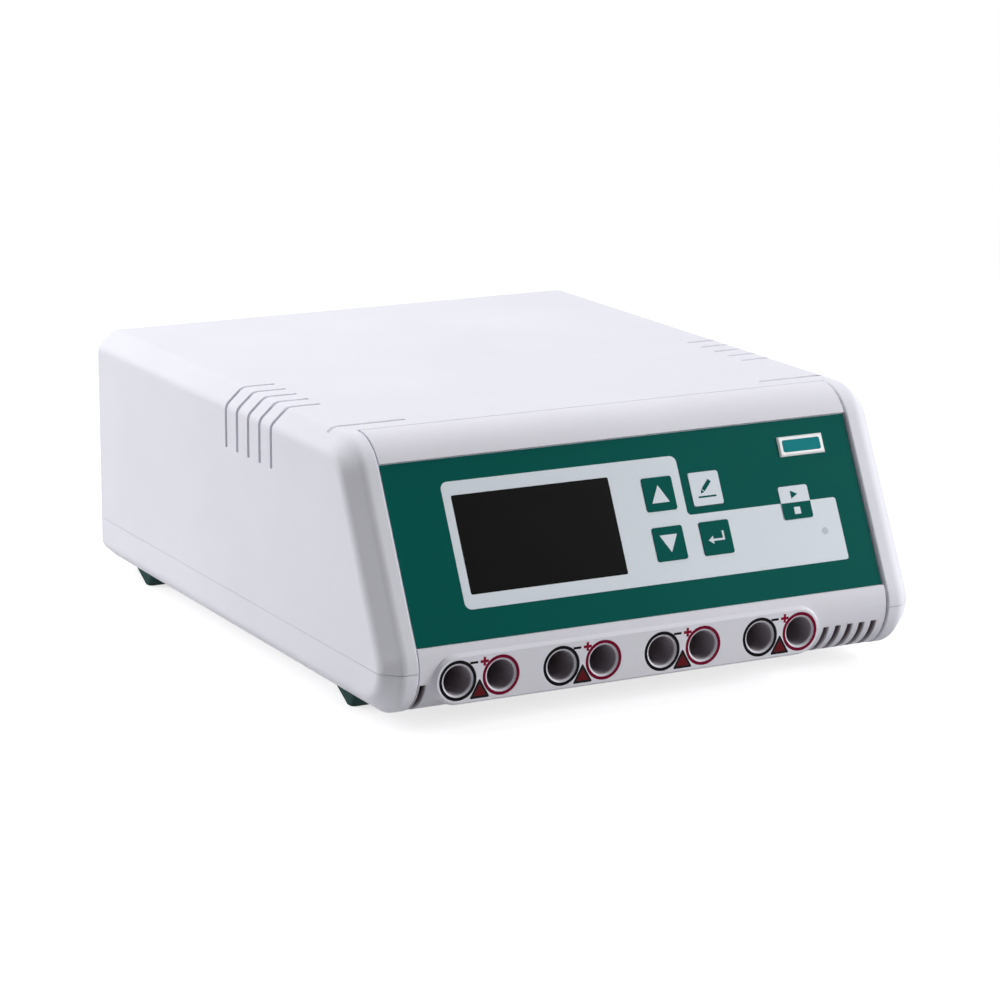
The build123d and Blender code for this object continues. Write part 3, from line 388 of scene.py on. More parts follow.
# %% Metal lines group
line_group, entry, result = group_of(
    "metal_lines",
    [("Colour", "Color", (0.6, 0.6, 0.6, 1.0)), ("Roughness", "Float", 0.3), ("Depth", "Float", 0.1)],
    [("Colour", "Color"), ("Roughness", "Float"), ("Height", "Float")],
)
lines = noise_at(line_group, 900.0, detail=3.0, stretch=(0.05, 1.0, 1.0))
bright = remap(line_group, lines, 0.3, 0.7, 0.88, 1.08)
streaked = blend_colours(line_group, 1.0, entry.outputs["Colour"], as_grey(line_group, bright), "MULTIPLY")
join(line_group, streaked, result.inputs["Colour"])
rougher = math(line_group, "ADD", entry.outputs["Roughness"], entry.outputs["Depth"])
uneven = remap(line_group, lines, 0.3, 0.7, entry.outputs["Roughness"], rougher)
join(line_group, uneven, result.inputs["Roughness"])
join(line_group, lines, result.inputs["Height"])
print("metal group nodes", len(line_group.nodes))

# %% [markdown]
# ## Finishes
# A finish is a material with the groups placed in it. `plastic` makes a moulded, printed or painted surface, and
# `metal` a bare one. Colours are written as they are seen on a screen and turned to light levels, so they can be
# compared with the picture. Gloss, coat and metal are plain numbers on the shader.

# %% Finish makers


def seen(red, green, blue):
    """A colour as a screen shows it, from 0 to 255, turned to light levels."""
    levels = []
    for value in (red, green, blue):
        share = value / 255.0
        levels.append(share / 12.92 if share <= 0.04045 else ((share + 0.055) / 1.055) ** 2.4)
    return (*levels, 1.0)


def new_finish(name, gloss, metallic=0.0):
    """A material with its own shader, whose gloss level and metal are plain numbers."""
    material = bpy.data.materials.new(name)
    material.use_nodes = True
    shader = material.node_tree.nodes["Principled BSDF"]
    shader.inputs["Specular IOR Level"].default_value = gloss
    shader.inputs["Metallic"].default_value = metallic
    return material, material.node_tree, shader


def use_group(tree, group, **values):
    """A group placed in a material, with its own values."""
    node = tree.nodes.new("ShaderNodeGroup")
    node.node_tree = group
    for name, value in values.items():
        node.inputs[name].default_value = value
    return node


def raise_grain(tree, shader, height, normal, depth):
    """Feeds a height and a softened direction to the shader through a bump."""
    bump = add(tree, "ShaderNodeBump", Strength=0.6, Distance=depth)
    join(tree, height, bump.inputs["Height"])
    join(tree, normal, bump.inputs["Normal"])
    join(tree, bump.outputs["Normal"], shader.inputs["Normal"])


def plastic(name, colour, worn, roughness=0.5, gloss=0.35, tone=0.02, drift=14.0, grain=1600.0, depth=2e-5,
            radius=0.0004, wear=0.4):
    """A moulded, printed or painted finish."""
    material, tree, shader = new_finish(name, gloss)
    skin = use_group(tree, skin_group, Colour=colour, Tone=tone, Drift=drift, Grain=grain, Roughness=roughness)
    edge = use_group(tree, edge_group, Radius=radius, Amount=wear)
    mixed = blend_colours(tree, edge.outputs["Wear"], skin.outputs["Colour"], worn)
    join(tree, mixed, shader.inputs["Base Color"])
    join(tree, skin.outputs["Roughness"], shader.inputs["Roughness"])
    raise_grain(tree, shader, skin.outputs["Height"], edge.outputs["Normal"], depth)
    return material


def metal(name, colour, roughness=0.3, depth=0.12, relief=1e-5, radius=0.0002):
    """A bare metal finish."""
    material, tree, shader = new_finish(name, 0.5, metallic=1.0)
    drawn = use_group(tree, line_group, Colour=colour, Roughness=roughness, Depth=depth)
    edge = use_group(tree, edge_group, Radius=radius, Amount=0.5)
    mixed = blend_colours(tree, edge.outputs["Wear"], drawn.outputs["Colour"], (0.85, 0.85, 0.85, 1.0))
    join(tree, mixed, shader.inputs["Base Color"])
    join(tree, drawn.outputs["Roughness"], shader.inputs["Roughness"])
    raise_grain(tree, shader, drawn.outputs["Height"], edge.outputs["Normal"], relief)
    return material


def wear_on(node_name, material):
    """Gives a finish to a piece that came with the frame."""
    for place in nodes[node_name].material_slots:
        place.material = material


# %% [markdown]
# The case is a pale grey plastic with the faintest violet in it, with a fine spark grain. The front moulding is the
# same plastic from another tool, a shade darker. The walls of the vent slots in the chin get painted shade that
# darkens with depth: the chin is round about one line, and the distance from that line tells how deep a point lies.
# The floors of the scored lines over the shoulders and of the two short lines on the top get painted shade too. The
# feet are dark green rubber, dull and soft at the edges.

# %% Case finishes
case_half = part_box("upper_cover")[1].x
case_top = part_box("upper_cover")[1].z
groove_first = -42.9 * MM
groove_pitch = 11.3 * MM
groove_wide = 2.2 * MM
groove_count = 5
groove_inner = case_half - 22.2 * MM
groove_bottom = 87.2 * MM
step_y = -85.2 * MM
step_inner = case_half - 37.7 * MM


def near(tree, value, middle, half, soft=0.1 * MM):
    """1 where a value is within half a width of a middle, and 0 beyond it."""
    away = math(tree, "ABSOLUTE", math(tree, "SUBTRACT", value, middle), 0.0)
    return remap(tree, away, half - soft, half, 1.0, 0.0)


def lay_painted_shade(material, shade_colour, mask_of):
    """Darkens a finish towards a shade colour where a mask lies, as painted shade. The mask is made from the place
    in the piece.
    """
    tree = material.node_tree
    shader = tree.nodes["Principled BSDF"]
    unshaded = shader.inputs["Base Color"].links[0].from_socket
    place = add(tree, "ShaderNodeTexCoord").outputs["Object"]
    axes = add(tree, "ShaderNodeSeparateXYZ")
    join(tree, place, axes.inputs[0])
    shaded = blend_colours(tree, mask_of(tree, place, axes), unshaded, shade_colour)
    join(tree, shaded, shader.inputs["Base Color"])


def groove_shade_mask(tree, place, axes):
    """1 on the floors of the scored lines over the shoulders, and of the two short lines on the top, where shade is
    painted.
    """
    side = math(tree, "ABSOLUTE", axes.outputs["X"], 0.0)
    lines = 0.0
    for i in range(groove_count):
        line = near(tree, axes.outputs["Y"], groove_first + i * groove_pitch, groove_wide / 2)
        lines = math(tree, "MAXIMUM", line, lines)
    lines = math(tree, "MULTIPLY", lines, math(tree, "GREATER_THAN", side, groove_inner))
    lines = math(tree, "MULTIPLY", lines, math(tree, "GREATER_THAN", axes.outputs["Z"], groove_bottom))
    middle, half = (step_inner + case_half) / 2, (case_half - step_inner) / 2
    step = near(tree, axes.outputs["Y"], step_y, groove_wide / 2)
    step = math(tree, "MULTIPLY", step, near(tree, side, middle, half))
    step = math(tree, "MULTIPLY", step, math(tree, "GREATER_THAN", axes.outputs["Z"], case_top - 2.0 * MM))
    return math(tree, "MAXIMUM", lines, step)


case_grey = seen(241, 241, 250)
case_worn = seen(248, 248, 253)
case_finish = plastic("case_grey_finish", case_grey, case_worn, roughness=0.52, gloss=0.14)
front_grey = seen(240, 239, 248)
front_finish = plastic("front_grey_finish", front_grey, case_worn, roughness=0.48, gloss=0.14)
chin_finish = plastic("chin_grey_finish", front_grey, case_worn, roughness=0.48, gloss=0.14)
foot_finish = plastic("foot_green_finish", seen(14, 54, 51), seen(40, 88, 83), roughness=0.7, gloss=0.15,
                      tone=0.12, grain=900.0, depth=5e-5, radius=0.0008)
chin_radius = 20.7 * MM
boss_proud = 1.6 * MM
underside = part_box("lower_tray")[0].z
chin_axis = (0.0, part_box("terminal_panel")[0].y + boss_proud + chin_radius, underside + chin_radius)
slots_from, slots_left, slots_top = 76.4 * MM, -103.9 * MM, 20.9 * MM


def slot_shade_mask(tree, place, axes):
    """1 on the walls of the vent slots, which lie deeper than the chin's face and past both ends of the boss, where
    shade is painted.
    """
    away = add(tree, "ShaderNodeVectorMath", operation="SUBTRACT")
    join(tree, place, away.inputs[0])
    away.inputs[1].default_value = chin_axis
    flat = add(tree, "ShaderNodeVectorMath", operation="MULTIPLY")
    join(tree, away.outputs["Vector"], flat.inputs[0])
    flat.inputs[1].default_value = (0.0, 1.0, 1.0)
    reach = add(tree, "ShaderNodeVectorMath", operation="LENGTH")
    join(tree, flat.outputs["Vector"], reach.inputs[0])
    dark_from, unshaded_from = chin_radius - 1.6 * MM, chin_radius - 0.2 * MM
    deep = remap(tree, reach.outputs["Value"], dark_from, unshaded_from, 1.0, 0.0)
    middle, half = (slots_from + slots_left) / 2, (slots_from - slots_left) / 2
    off = math(tree, "ABSOLUTE", math(tree, "SUBTRACT", axes.outputs["X"], middle), 0.0)
    beyond = remap(tree, off, half, half + 0.2 * MM, 0.0, 1.0)
    below = remap(tree, axes.outputs["Z"], slots_top, slots_top + 0.3 * MM, 1.0, 0.0)
    return math(tree, "MULTIPLY", math(tree, "MULTIPLY", deep, beyond), below)


# Painted shade: the slot walls darken with depth towards a grey-brown, standing in for the shade inside the slots.
lay_painted_shade(chin_finish, seen(138, 124, 130), slot_shade_mask)
for name in ("upper_cover", "lower_tray"):
    wear_on(name, case_finish)
# Painted shade: the floors of the scored lines and of the step line are darkened, standing in for the shade in them.
lay_painted_shade(case_finish, seen(204, 203, 212), groove_shade_mask)
wear_on("front_bezel", front_finish)
wear_on("terminal_panel", chin_finish)
wear_on("feet", foot_finish)
print("case finishes", case_finish.name, front_finish.name, foot_finish.name)

# %% [markdown]
# The membrane sheet is clear film printed green from behind, so it is smoother than the case, with a soft satin
# sheen and almost no grain. The light field and the keys are the same film with another ink. The display window is
# smoked and nearly black, and its gloss is held low so that the white room doesn't grey it.

# %% Sheet finishes
film = {"grain": 2600.0, "radius": 0.0002, "wear": 0.2}
ink = {**film, "drift": 9.0, "depth": 6e-6}
light = {**ink, "wear": 0.3}
green_ink = plastic("green_ink", seen(6, 94, 87), seen(30, 116, 107), roughness=0.36, gloss=0.02, tone=0.04, **ink)
light_ink = plastic("light_ink", seen(238, 246, 254), seen(244, 249, 254), roughness=0.38, gloss=0.12, tone=0.012,
                    **light)
dark_glass = plastic("dark_glass", seen(27, 27, 27), seen(42, 42, 42), roughness=0.2, gloss=0.02, tone=0.04,
                     depth=2e-6, **film)
wear_on("membrane_overlay", green_ink)
wear_on("display_window", dark_glass)
for name in ("key_up", "key_down", "key_enter"):
    wear_on(name, green_ink)
for name in ("key_edit", "key_run_stop"):
    wear_on(name, light_ink)
print("sheet finishes", green_ink.name, light_ink.name, dark_glass.name)

# %% [markdown]
# The rings say which socket is which: black for minus, dark red for plus. The cups behind them are pale grey nylon,
# which only their depth makes dark, and the contacts are plated brass. The badge is a plain white plate with a
# bevelled rim.

# %% Socket and badge finishes
ring = {"roughness": 0.42, "gloss": 0.06, "depth": 8e-6, "radius": 0.0002, "wear": 0.2}
ring_black = plastic("ring_black_finish", seen(12, 11, 16), seen(40, 40, 46), tone=0.1, **ring)
ring_red = plastic("ring_red_finish", seen(122, 10, 48), seen(150, 40, 76), tone=0.08, **ring)
well_finish = plastic("well_grey_finish", seen(170, 163, 171), seen(180, 174, 181), gloss=0.2, tone=0.1, depth=1e-5)
plated = metal("plated_brass", seen(212, 180, 110), roughness=0.28)
badge_finish = plastic("badge_white_finish", seen(250, 250, 252), seen(254, 254, 254), roughness=0.2, gloss=0.5,
                       tone=0.01, depth=2e-6, radius=0.0003)
for name, material in (
    ("socket_rings_black", ring_black),
    ("socket_rings_red", ring_red),
    ("socket_wells", well_finish),
    ("socket_contacts", plated),
    ("badge_plate", badge_finish),
):
    wear_on(name, material)
print("socket finishes", ring_black.name, ring_red.name, well_finish.name, plated.name)

# %% [markdown]
# The rear panel is steel under a grey powder coat, which is bumpier than the moulded case. The inlet, the switch
# and the fan are black plastics that differ in gloss. The guard and the screws are plated steel.

# %% Rear finishes
powder = plastic("powder_coat", seen(196, 196, 202), seen(214, 214, 220), roughness=0.55, gloss=0.4, tone=0.03,
                 grain=700.0, depth=6e-5)
inlet_black = plastic("inlet_black", seen(26, 26, 28), seen(70, 70, 72), roughness=0.38, gloss=0.4, tone=0.1,
                      depth=1e-5)
fan_black = plastic("fan_black", seen(22, 22, 23), seen(60, 60, 62), roughness=0.5, gloss=0.4, tone=0.12,
                    depth=1.5e-5)
rocker_finish = plastic("rocker_black", seen(30, 30, 32), seen(86, 86, 88), roughness=0.25, gloss=0.5, tone=0.08,
                        depth=5e-6)
zinc = metal("zinc_steel", seen(196, 198, 204), roughness=0.3)
wear_on("rear_panel", powder)
for name in ("inlet_body", "fuse_drawer", "rocker_frame"):
    wear_on(name, inlet_black)
for name in ("fan_frame", "fan_rotor"):
    wear_on(name, fan_black)
wear_on("rocker_button", rocker_finish)
for name in ("fan_guard", "fan_screws", "rear_screws", "case_screws", "foot_screws", "display_screws",
             "board_screws", "transformer_screws", "socket_nuts", "inlet_pins"):
    wear_on(name, zinc)
print("rear finishes", powder.name, inlet_black.name, zinc.name)

# %% [markdown]
# ## Works inside
# Little of this shows through the vents, but every piece keeps a true finish for whoever opens the case. A board
# has copper tracks under green lacquer, so its colour comes from a grid of fine lines broken by noise. Laminations,
# ribbon wires and winding tape are bands of a wave, at the real spacing.

# %% Banded finishes


def banded(name, colour, second, spacing, axis, roughness=0.5):
    """A finish of two colours in bands at a spacing in metres, across an axis."""
    material, tree, shader = new_finish(name, 0.35)
    place = add(tree, "ShaderNodeTexCoord")
    wave = add(tree, "ShaderNodeTexWave", wave_type="BANDS", bands_direction=axis, Distortion=0.15, Detail=1.0)
    wave.inputs["Scale"].default_value = pi / (10.0 * spacing)
    join(tree, place.outputs["Object"], wave.inputs["Vector"])
    skin = use_group(tree, skin_group, Colour=colour, Tone=0.06, Roughness=roughness)
    edge = use_group(tree, edge_group, Amount=0.3)
    band = blend_colours(tree, wave.outputs["Fac"], skin.outputs["Colour"], second)
    join(tree, blend_colours(tree, edge.outputs["Wear"], band, (0.7, 0.7, 0.7, 1.0)), shader.inputs["Base Color"])
    join(tree, skin.outputs["Roughness"], shader.inputs["Roughness"])
    raise_grain(tree, shader, wave.outputs["Fac"], edge.outputs["Normal"], 5e-5)
    return material


def lacquered_board(name, ground, track):
    """A circuit board: lacquer over a grid of copper tracks, broken into runs."""
    material, tree, shader = new_finish(name, 0.5)
    place = add(tree, "ShaderNodeTexCoord")
    bricks = add(tree, "ShaderNodeTexBrick", Color1=white, Color2=white, Mortar=(0, 0, 0, 1), Scale=90.0,
                 Mortar_Size=0.06)
    join(tree, place.outputs["Object"], bricks.inputs["Vector"])
    runs = remap(tree, noise_at(tree, 60.0), 0.46, 0.5, 0.0, 1.0)
    tracks = math(tree, "MULTIPLY", math(tree, "SUBTRACT", 1.0, bricks.outputs["Color"]), runs)
    skin = use_group(tree, skin_group, Colour=ground, Tone=0.08, Roughness=0.32)
    edge = use_group(tree, edge_group, Amount=0.4)
    inked = blend_colours(tree, tracks, skin.outputs["Colour"], track)
    fibre = seen(190, 180, 130)
    join(tree, blend_colours(tree, edge.outputs["Wear"], inked, fibre), shader.inputs["Base Color"])
    join(tree, skin.outputs["Roughness"], shader.inputs["Roughness"])
    raise_grain(tree, shader, tracks, edge.outputs["Normal"], 4e-5)
    return material


board_finish = lacquered_board("green_lacquer", seen(20, 84, 48), seen(56, 128, 74))
for name in ("main_board", "display_board", "output_board"):
    wear_on(name, board_finish)
laminations = banded("laminations", seen(70, 72, 78), seen(120, 122, 128), 0.0005, "Y", roughness=0.45)
tape = banded("winding_tape_finish", seen(196, 168, 70), seen(176, 146, 52), 0.006, "Z", roughness=0.4)
ribbon = banded("ribbon_grey_finish", seen(176, 176, 178), seen(140, 140, 144), 0.00127, "X", roughness=0.5)
ferrite = plastic("ferrite_finish", seen(52, 52, 54), seen(84, 84, 86), roughness=0.6, gloss=0.3, tone=0.15)
wear_on("transformer_core", laminations)
wear_on("transformer_winding", tape)
wear_on("high_voltage_winding", tape)
wear_on("high_voltage_core", ferrite)
wear_on("ribbon_cable", ribbon)
print("banded finishes", laminations.name, tape.name, ribbon.name)

# %% Other works finishes
aluminium = metal("extruded_aluminium", seen(186, 188, 192), roughness=0.38, depth=0.2)
sleeve = plastic("capacitor_sleeve_finish", seen(28, 34, 74), seen(70, 76, 120), roughness=0.3, gloss=0.45)
moulded_black = plastic("moulded_black", seen(28, 28, 30), seen(66, 66, 68), roughness=0.45, gloss=0.35, tone=0.1)
relay_finish = plastic("relay_blue_finish", seen(40, 86, 150), seen(96, 136, 190), roughness=0.4)
block_finish = plastic("block_green_finish", seen(36, 136, 80), seen(90, 176, 124), roughness=0.45)
frame_grey = plastic("module_grey_finish", seen(136, 138, 142), seen(170, 172, 176), roughness=0.5, tone=0.05)
for name, material in (
    ("heat_sink", aluminium),
    ("transformer_strap", zinc),
    ("filter_capacitors", sleeve),
    ("power_transistors", moulded_black),
    ("key_switches", moulded_black),
    ("ribbon_header", moulded_black),
    ("socket_spacers", moulded_black),
    ("relays", relay_finish),
    ("terminal_block", block_finish),
    ("lcd_module", frame_grey),
):
    wear_on(name, material)

fuse_glass, tree, shader = new_finish("fuse_glass", 0.5)
shader.inputs["Transmission Weight"].default_value = 0.85
glass_skin = use_group(tree, skin_group, Colour=seen(232, 236, 236), Tone=0.03, Roughness=0.08)
join(tree, glass_skin.outputs["Colour"], shader.inputs["Base Color"])
join(tree, glass_skin.outputs["Roughness"], shader.inputs["Roughness"])
wear_on("fuses", fuse_glass)
print("finishes in all", len(bpy.data.materials))

# %% [markdown]
# ## Printed light field
# The sheet has a light field round the display and the lower keys, shaped like a flag on its side. It could be
# painted by a mask in the sheet's material, but a thin skin of ink with its own outline stays crisp at any size.
# The outline is drawn flat, in millimetres, from one plane: the plane is split level with the band's top, the lower
# right edge is pulled out to the right, and the corners are bevelled. Holes for the display and keys are cut out,
# and the finished ink is laid on the leaning sheet.

# %% Lay flat work on the case
ink_thick = 0.05
lean = radians(26.3)
sheet_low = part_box("membrane_overlay")[0] / MM
sheet_margin = 0.35
sheet_thick = 0.4
bottom_edge = Vector((0.0, sheet_low.y, sheet_low.z + sheet_thick * sin(lean)))
up_slope = Vector((0.0, sin(lean), cos(lean)))
outward = Vector((0.0, -cos(lean), sin(lean)))
panel_zero = bottom_edge - up_slope * sheet_margin
print("leaning sheet starts at", [round(value, 2) for value in panel_zero])


def frame_matrix(origin, across, along, out):
    """Turns flat work in millimetres into its place on the case in metres."""
    turned = Matrix((across, along, out)).transposed().to_4x4()
    return Matrix.Scale(MM, 4) @ Matrix.Translation(origin) @ turned


on_sheet = frame_matrix(panel_zero, Vector((1, 0, 0)), up_slope, outward)
boss_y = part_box("terminal_panel")[0].y / MM
on_boss = frame_matrix(Vector((0, boss_y, 0)), Vector((1, 0, 0)), Vector((0, 0, 1)), Vector((0, -1, 0)))


def settle(piece, matrix, material, body):
    """Lays a finished piece in its place, gives it a finish and a body to ride on."""
    piece.data.transform(matrix)
    piece.data.update()
    edit(piece)
    take_all()
    bpy.ops.mesh.normals_make_consistent(inside=False)
    done()
    piece.data.materials.clear()
    piece.data.materials.append(material)
    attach(piece, body)
    return piece


# %% Plates, cuts and the field


def flat_plate(name, centre, size, corner=0.0, base=0.0, thick=ink_thick, steps=6):
    """A flat plate with rounded corners."""
    deselect()
    bpy.ops.mesh.primitive_plane_add(size=1.0, location=(centre[0], centre[1], base))
    piece = bpy.context.object
    piece.name = name
    piece.scale = (size[0], size[1], 1.0)
    keep_place()
    edit(piece)
    take_all()
    if corner:
        bpy.ops.mesh.bevel(offset=corner, segments=steps, affect="VERTICES")
        take_all()
    pull(0.0, 0.0, thick)
    done()
    return piece


def combine(piece, other, operation):
    """Joins a second piece to the first or cuts it away, and removes it."""
    deselect()
    bpy.context.view_layer.objects.active = piece
    change = piece.modifiers.new("combine", "BOOLEAN")
    change.operation = operation
    change.solver = "EXACT"
    change.object = other
    bpy.ops.object.modifier_apply(modifier=change.name)
    bpy.data.objects.remove(other)
    return piece


key_places = {
    "key_up": (12.7, 49.3),
    "key_down": (12.7, 28.6),
    "key_edit": (34.6, 49.3),
    "key_enter": (34.6, 28.6),
    "key_run_stop": (75.1, 39.0),
}
key_opening = 14.12
display_centre = (-44.3, 38.6)
display_opening = (70.7, 40.2)
field_left, field_right, band_right = -83.3, 23.8, 94.5
field_low, band_top, field_top = 12.7, 39.2, 64.4

deselect()
bpy.ops.mesh.primitive_plane_add(
    size=1.0, location=((field_left + field_right) / 2, (field_low + field_top) / 2, 0.0)
)
field = bpy.context.object
field.name = "light_field"
field.scale = (field_right - field_left, field_top - field_low, 1.0)
keep_place()
edit(field)
take_all()
bpy.ops.mesh.bisect(plane_co=(0.0, band_top, 0.0), plane_no=(0.0, 1.0, 0.0))
bpy.ops.mesh.select_all(action="DESELECT")
choose(field, "EDGE", lambda middle: middle.x > field_right - 0.1 and middle.y < band_top - 1.0)
pull(band_right - field_right, 0.0, 0.0)
take_all()
bpy.ops.mesh.dissolve_faces()
for radius, test in (
    (3.0, lambda point: point.x < field_left + 0.1 and abs(point.y - band_top) > 1.0),
    (3.0, lambda point: abs(point.x - field_right) < 0.1 and point.y > field_top - 0.1),
    (1.8, lambda point: abs(point.x - field_right) < 0.1 and abs(point.y - band_top) < 0.1),
    (1.2, lambda point: point.x > band_right - 0.1),
):
    bpy.ops.mesh.select_all(action="DESELECT")
    choose(field, "VERT", test)
    bpy.ops.mesh.bevel(offset=radius, segments=8, affect="VERTICES")
take_all()
pull(0.0, 0.0, ink_thick)
done()
hole = flat_plate("hole", display_centre, display_opening, corner=0.8, base=-1.0, thick=3.0)
combine(field, hole, "DIFFERENCE")
for key_name, centre in key_places.items():
    if key_name != "key_edit":
        hole = flat_plate("hole", centre, (key_opening, key_opening), corner=1.0, base=-1.0, thick=3.0)
        combine(field, hole, "DIFFERENCE")
settle(field, on_sheet, light_ink, "root")
print("light field faces", len(field.data.polygons))

# %% [markdown]
# ## Key signs
# Each key carries a plain sign: arrows for up and down, a pencil for editing, a bent arrow for entering, and the
# usual run and stop signs. An arrow is a circle of three points with its corners softened, and the others are small
# plates joined to one. Each sign rides on its key, so it goes down when the key is pressed.

# %% Make the signs
key_top = 0.3


def flat_triangle(name, centre, size, turn=0.0, corner=0.3, base=key_top):
    """A triangle of a given width and height that points up the sheet, or turned from there."""
    deselect()
    bpy.ops.mesh.primitive_circle_add(vertices=3, radius=1.0, fill_type="NGON")
    piece = bpy.context.object
    piece.name = name
    low = min(point.co.y for point in piece.data.vertices)
    high = max(point.co.y for point in piece.data.vertices)
    half = max(point.co.x for point in piece.data.vertices)
    scale = Matrix.Diagonal((size[0] / (2 * half), size[1] / (high - low), 1.0, 1.0))
    lift = Matrix.Translation((0.0, -(low + high) / 2 * size[1] / (high - low), 0.0))
    piece.data.transform(lift @ scale)
    piece.data.transform(Matrix.Translation((centre[0], centre[1], base)) @ Matrix.Rotation(turn, 4, "Z"))
    edit(piece)
    take_all()
    bpy.ops.mesh.bevel(offset=corner, segments=4, affect="VERTICES")
    take_all()
    pull(0.0, 0.0, ink_thick)
    done()
    return piece


def flat_bar(name, start, end, wide, base=key_top, corner=0.0):
    """A straight bar between two points."""
    first, last = Vector((*start, 0.0)), Vector((*end, 0.0))
    way = last - first
    bar = flat_plate(name, (0.0, 0.0), (way.length, wide), corner=corner, base=base)
    turn = Matrix.Rotation(Vector((1.0, 0.0, 0.0)).rotation_difference(way).to_euler().z, 4, "Z")
    bar.data.transform(Matrix.Translation((first + last) / 2) @ turn)
    return bar


def merge(name, pieces):
    """Several flat pieces that don't overlap, as one object."""
    deselect()
    for piece in pieces:
        piece.select_set(True)
    bpy.context.view_layer.objects.active = pieces[0]
    bpy.ops.object.join()
    pieces[0].name = name
    return pieces[0]


arrow_size = (8.2, 7.4)
for side, turn in (("up", 0.0), ("down", pi)):
    arrow = flat_triangle(f"sign_{side}", key_places[f"key_{side}"], arrow_size, turn=turn)
    settle(arrow, on_sheet, light_ink, f"key_{side}")

x, y = key_places["key_edit"]
pencil = flat_bar("sign_edit", (x - 1.4, y - 0.6), (x + 2.4, y + 3.2), 1.7, corner=0.15)
tip = flat_triangle("tip", (x - 2.2, y - 1.4), (1.7, 1.6), turn=radians(135.0), corner=0.1)
under = flat_bar("under", (x - 4.2, y - 3.4), (x + 4.2, y - 3.4), 0.7, corner=0.2)
settle(merge("sign_edit", [pencil, tip, under]), on_sheet, green_ink, "key_edit")

x, y = key_places["key_enter"]
stem = flat_bar("sign_enter", (x + 3.3, y + 2.6), (x + 3.3, y - 0.4), 0.9)
run = flat_bar("run", (x - 1.7, y - 0.85), (x + 3.75, y - 0.85), 0.9)
head = flat_triangle("head", (x - 2.8, y - 0.85), (3.4, 2.4), turn=pi / 2, corner=0.15)
settle(merge("sign_enter", [stem, run, head]), on_sheet, light_ink, "key_enter")
print("signs on the arrow, edit and enter keys")

# %% [markdown]
# The run and stop key is printed in two halves, level with the top of the light band, so the band seems to run
# through it. The lower half is a second plate of green ink with its own two sharp corners.

# %% Run and stop key
x, y = key_places["key_run_stop"]
key_half = 7.0
stop_half = flat_plate("stop_half", (x, y - key_half / 2), (2 * key_half, key_half), base=key_top)
edit(stop_half)
choose(stop_half, "EDGE", lambda middle: middle.y < y - key_half + 0.1 and abs(middle.x - x) > key_half - 0.1)
bpy.ops.mesh.bevel(offset=1.0, segments=6, affect="EDGES")
done()
settle(stop_half, on_sheet, green_ink, "key_run_stop")
run_sign = flat_triangle("sign_run", (x, y + 3.4), (3.4, 3.2), turn=-pi / 2, corner=0.15)
settle(run_sign, on_sheet, green_ink, "key_run_stop")
stop_sign = flat_plate("sign_stop", (x, y - 3.5), (3.0, 3.0), corner=0.15, base=key_top + ink_thick)
settle(stop_sign, on_sheet, light_ink, "key_run_stop")
print("run and stop", len(stop_half.data.polygons), "faces")

# %% [markdown]
# ## Badge field and lamp
# The badge is a plain white plate with a blue-green field let into it. At the right end of the light band a small
# round lamp shows faintly through the film.

# %% Badge field and lamp window
badge_centre = (83.6, 62.6)
badge_top = 1.0
teal_ink = plastic("teal_ink", seen(0, 138, 144), seen(40, 156, 161), roughness=0.3, gloss=0.04, tone=0.03,
                   depth=4e-6, **film)
badge_field = flat_plate("badge_field", badge_centre, (18.2, 5.2), corner=0.9, base=badge_top)
settle(badge_field, on_sheet, teal_ink, "root")

lamp_film = plastic("lamp_film", seen(196, 203, 216), seen(210, 216, 228), roughness=0.3, gloss=0.3, tone=0.02,
                    depth=4e-6, **film)
lamp_centre = (86.2, 25.6, ink_thick)
deselect()
bpy.ops.mesh.primitive_circle_add(vertices=32, radius=1.5, fill_type="NGON", location=lamp_centre)
lamp_window = bpy.context.object
lamp_window.name = "lamp_window"
keep_place()
edit(lamp_window)
take_all()
bpy.ops.mesh.inset(thickness=0.35, depth=0.04)
done()
settle(lamp_window, on_sheet, lamp_film, "root")
print("badge and lamp", badge_field.name, lamp_window.name)

# %% [markdown]
# ## Socket marks
# Beside the top of each pair of rings stand a minus and a plus, in the colours of the rings. Between the rings at
# the bottom is a dark red triangle with a black rounded border, kept plain. They are modelled once for the first
# pair and copied along the boss, each copy with its own mesh.

# %% Model the marks for one pair
pair_pitch = 45.85
first_pair = -82.6
mark_up = 27.9
mark_thick = 0.03
stroke, plus_stroke = 0.95, 1.15
paint = {"roughness": 0.45, "depth": 5e-6, "radius": 0.0001, "wear": 0.2}
mark_black = plastic("mark_black", seen(15, 10, 15), seen(40, 38, 44), gloss=0.1, tone=0.08, **paint)
mark_red = plastic("mark_red", seen(140, 16, 50), seen(170, 60, 90), gloss=0.1, tone=0.08, **paint)
triangle_red = plastic("triangle_red", seen(98, 14, 22), seen(130, 40, 50), gloss=0.1, tone=0.08, **paint)


def thin(piece, thick):
    """Flat work brought down to a thinner ink."""
    low = min(point.co.z for point in piece.data.vertices)
    for point in piece.data.vertices:
        point.co.z = thick if point.co.z > low + ink_thick / 2 else 0.0


minus_from, minus_to = first_pair - 4.1, first_pair - 0.6
minus = flat_bar("mark_minus", (minus_from, mark_up), (minus_to, mark_up), stroke, base=0.0)
plus_x, plus_arm = first_pair + 2.3, 1.8
plus = flat_bar("mark_plus", (plus_x - plus_arm, mark_up), (plus_x + plus_arm, mark_up), plus_stroke, base=0.0)
upright = flat_bar("upright", (plus_x, mark_up - plus_arm), (plus_x, mark_up + plus_arm), plus_stroke, base=0.0)
plus = combine(plus, upright, "UNION")
border = flat_triangle("mark_border", (first_pair, 17.3), (8.9, 8.0), corner=0.8, base=0.0)
inner = flat_triangle("mark_triangle", (first_pair, 16.7), (5.6, 4.8), corner=0.3, base=0.0)
for mark in (minus, plus, border):
    thin(mark, mark_thick)
thin(inner, 1.6 * mark_thick)
print("marks", minus.name, plus.name, border.name, inner.name)

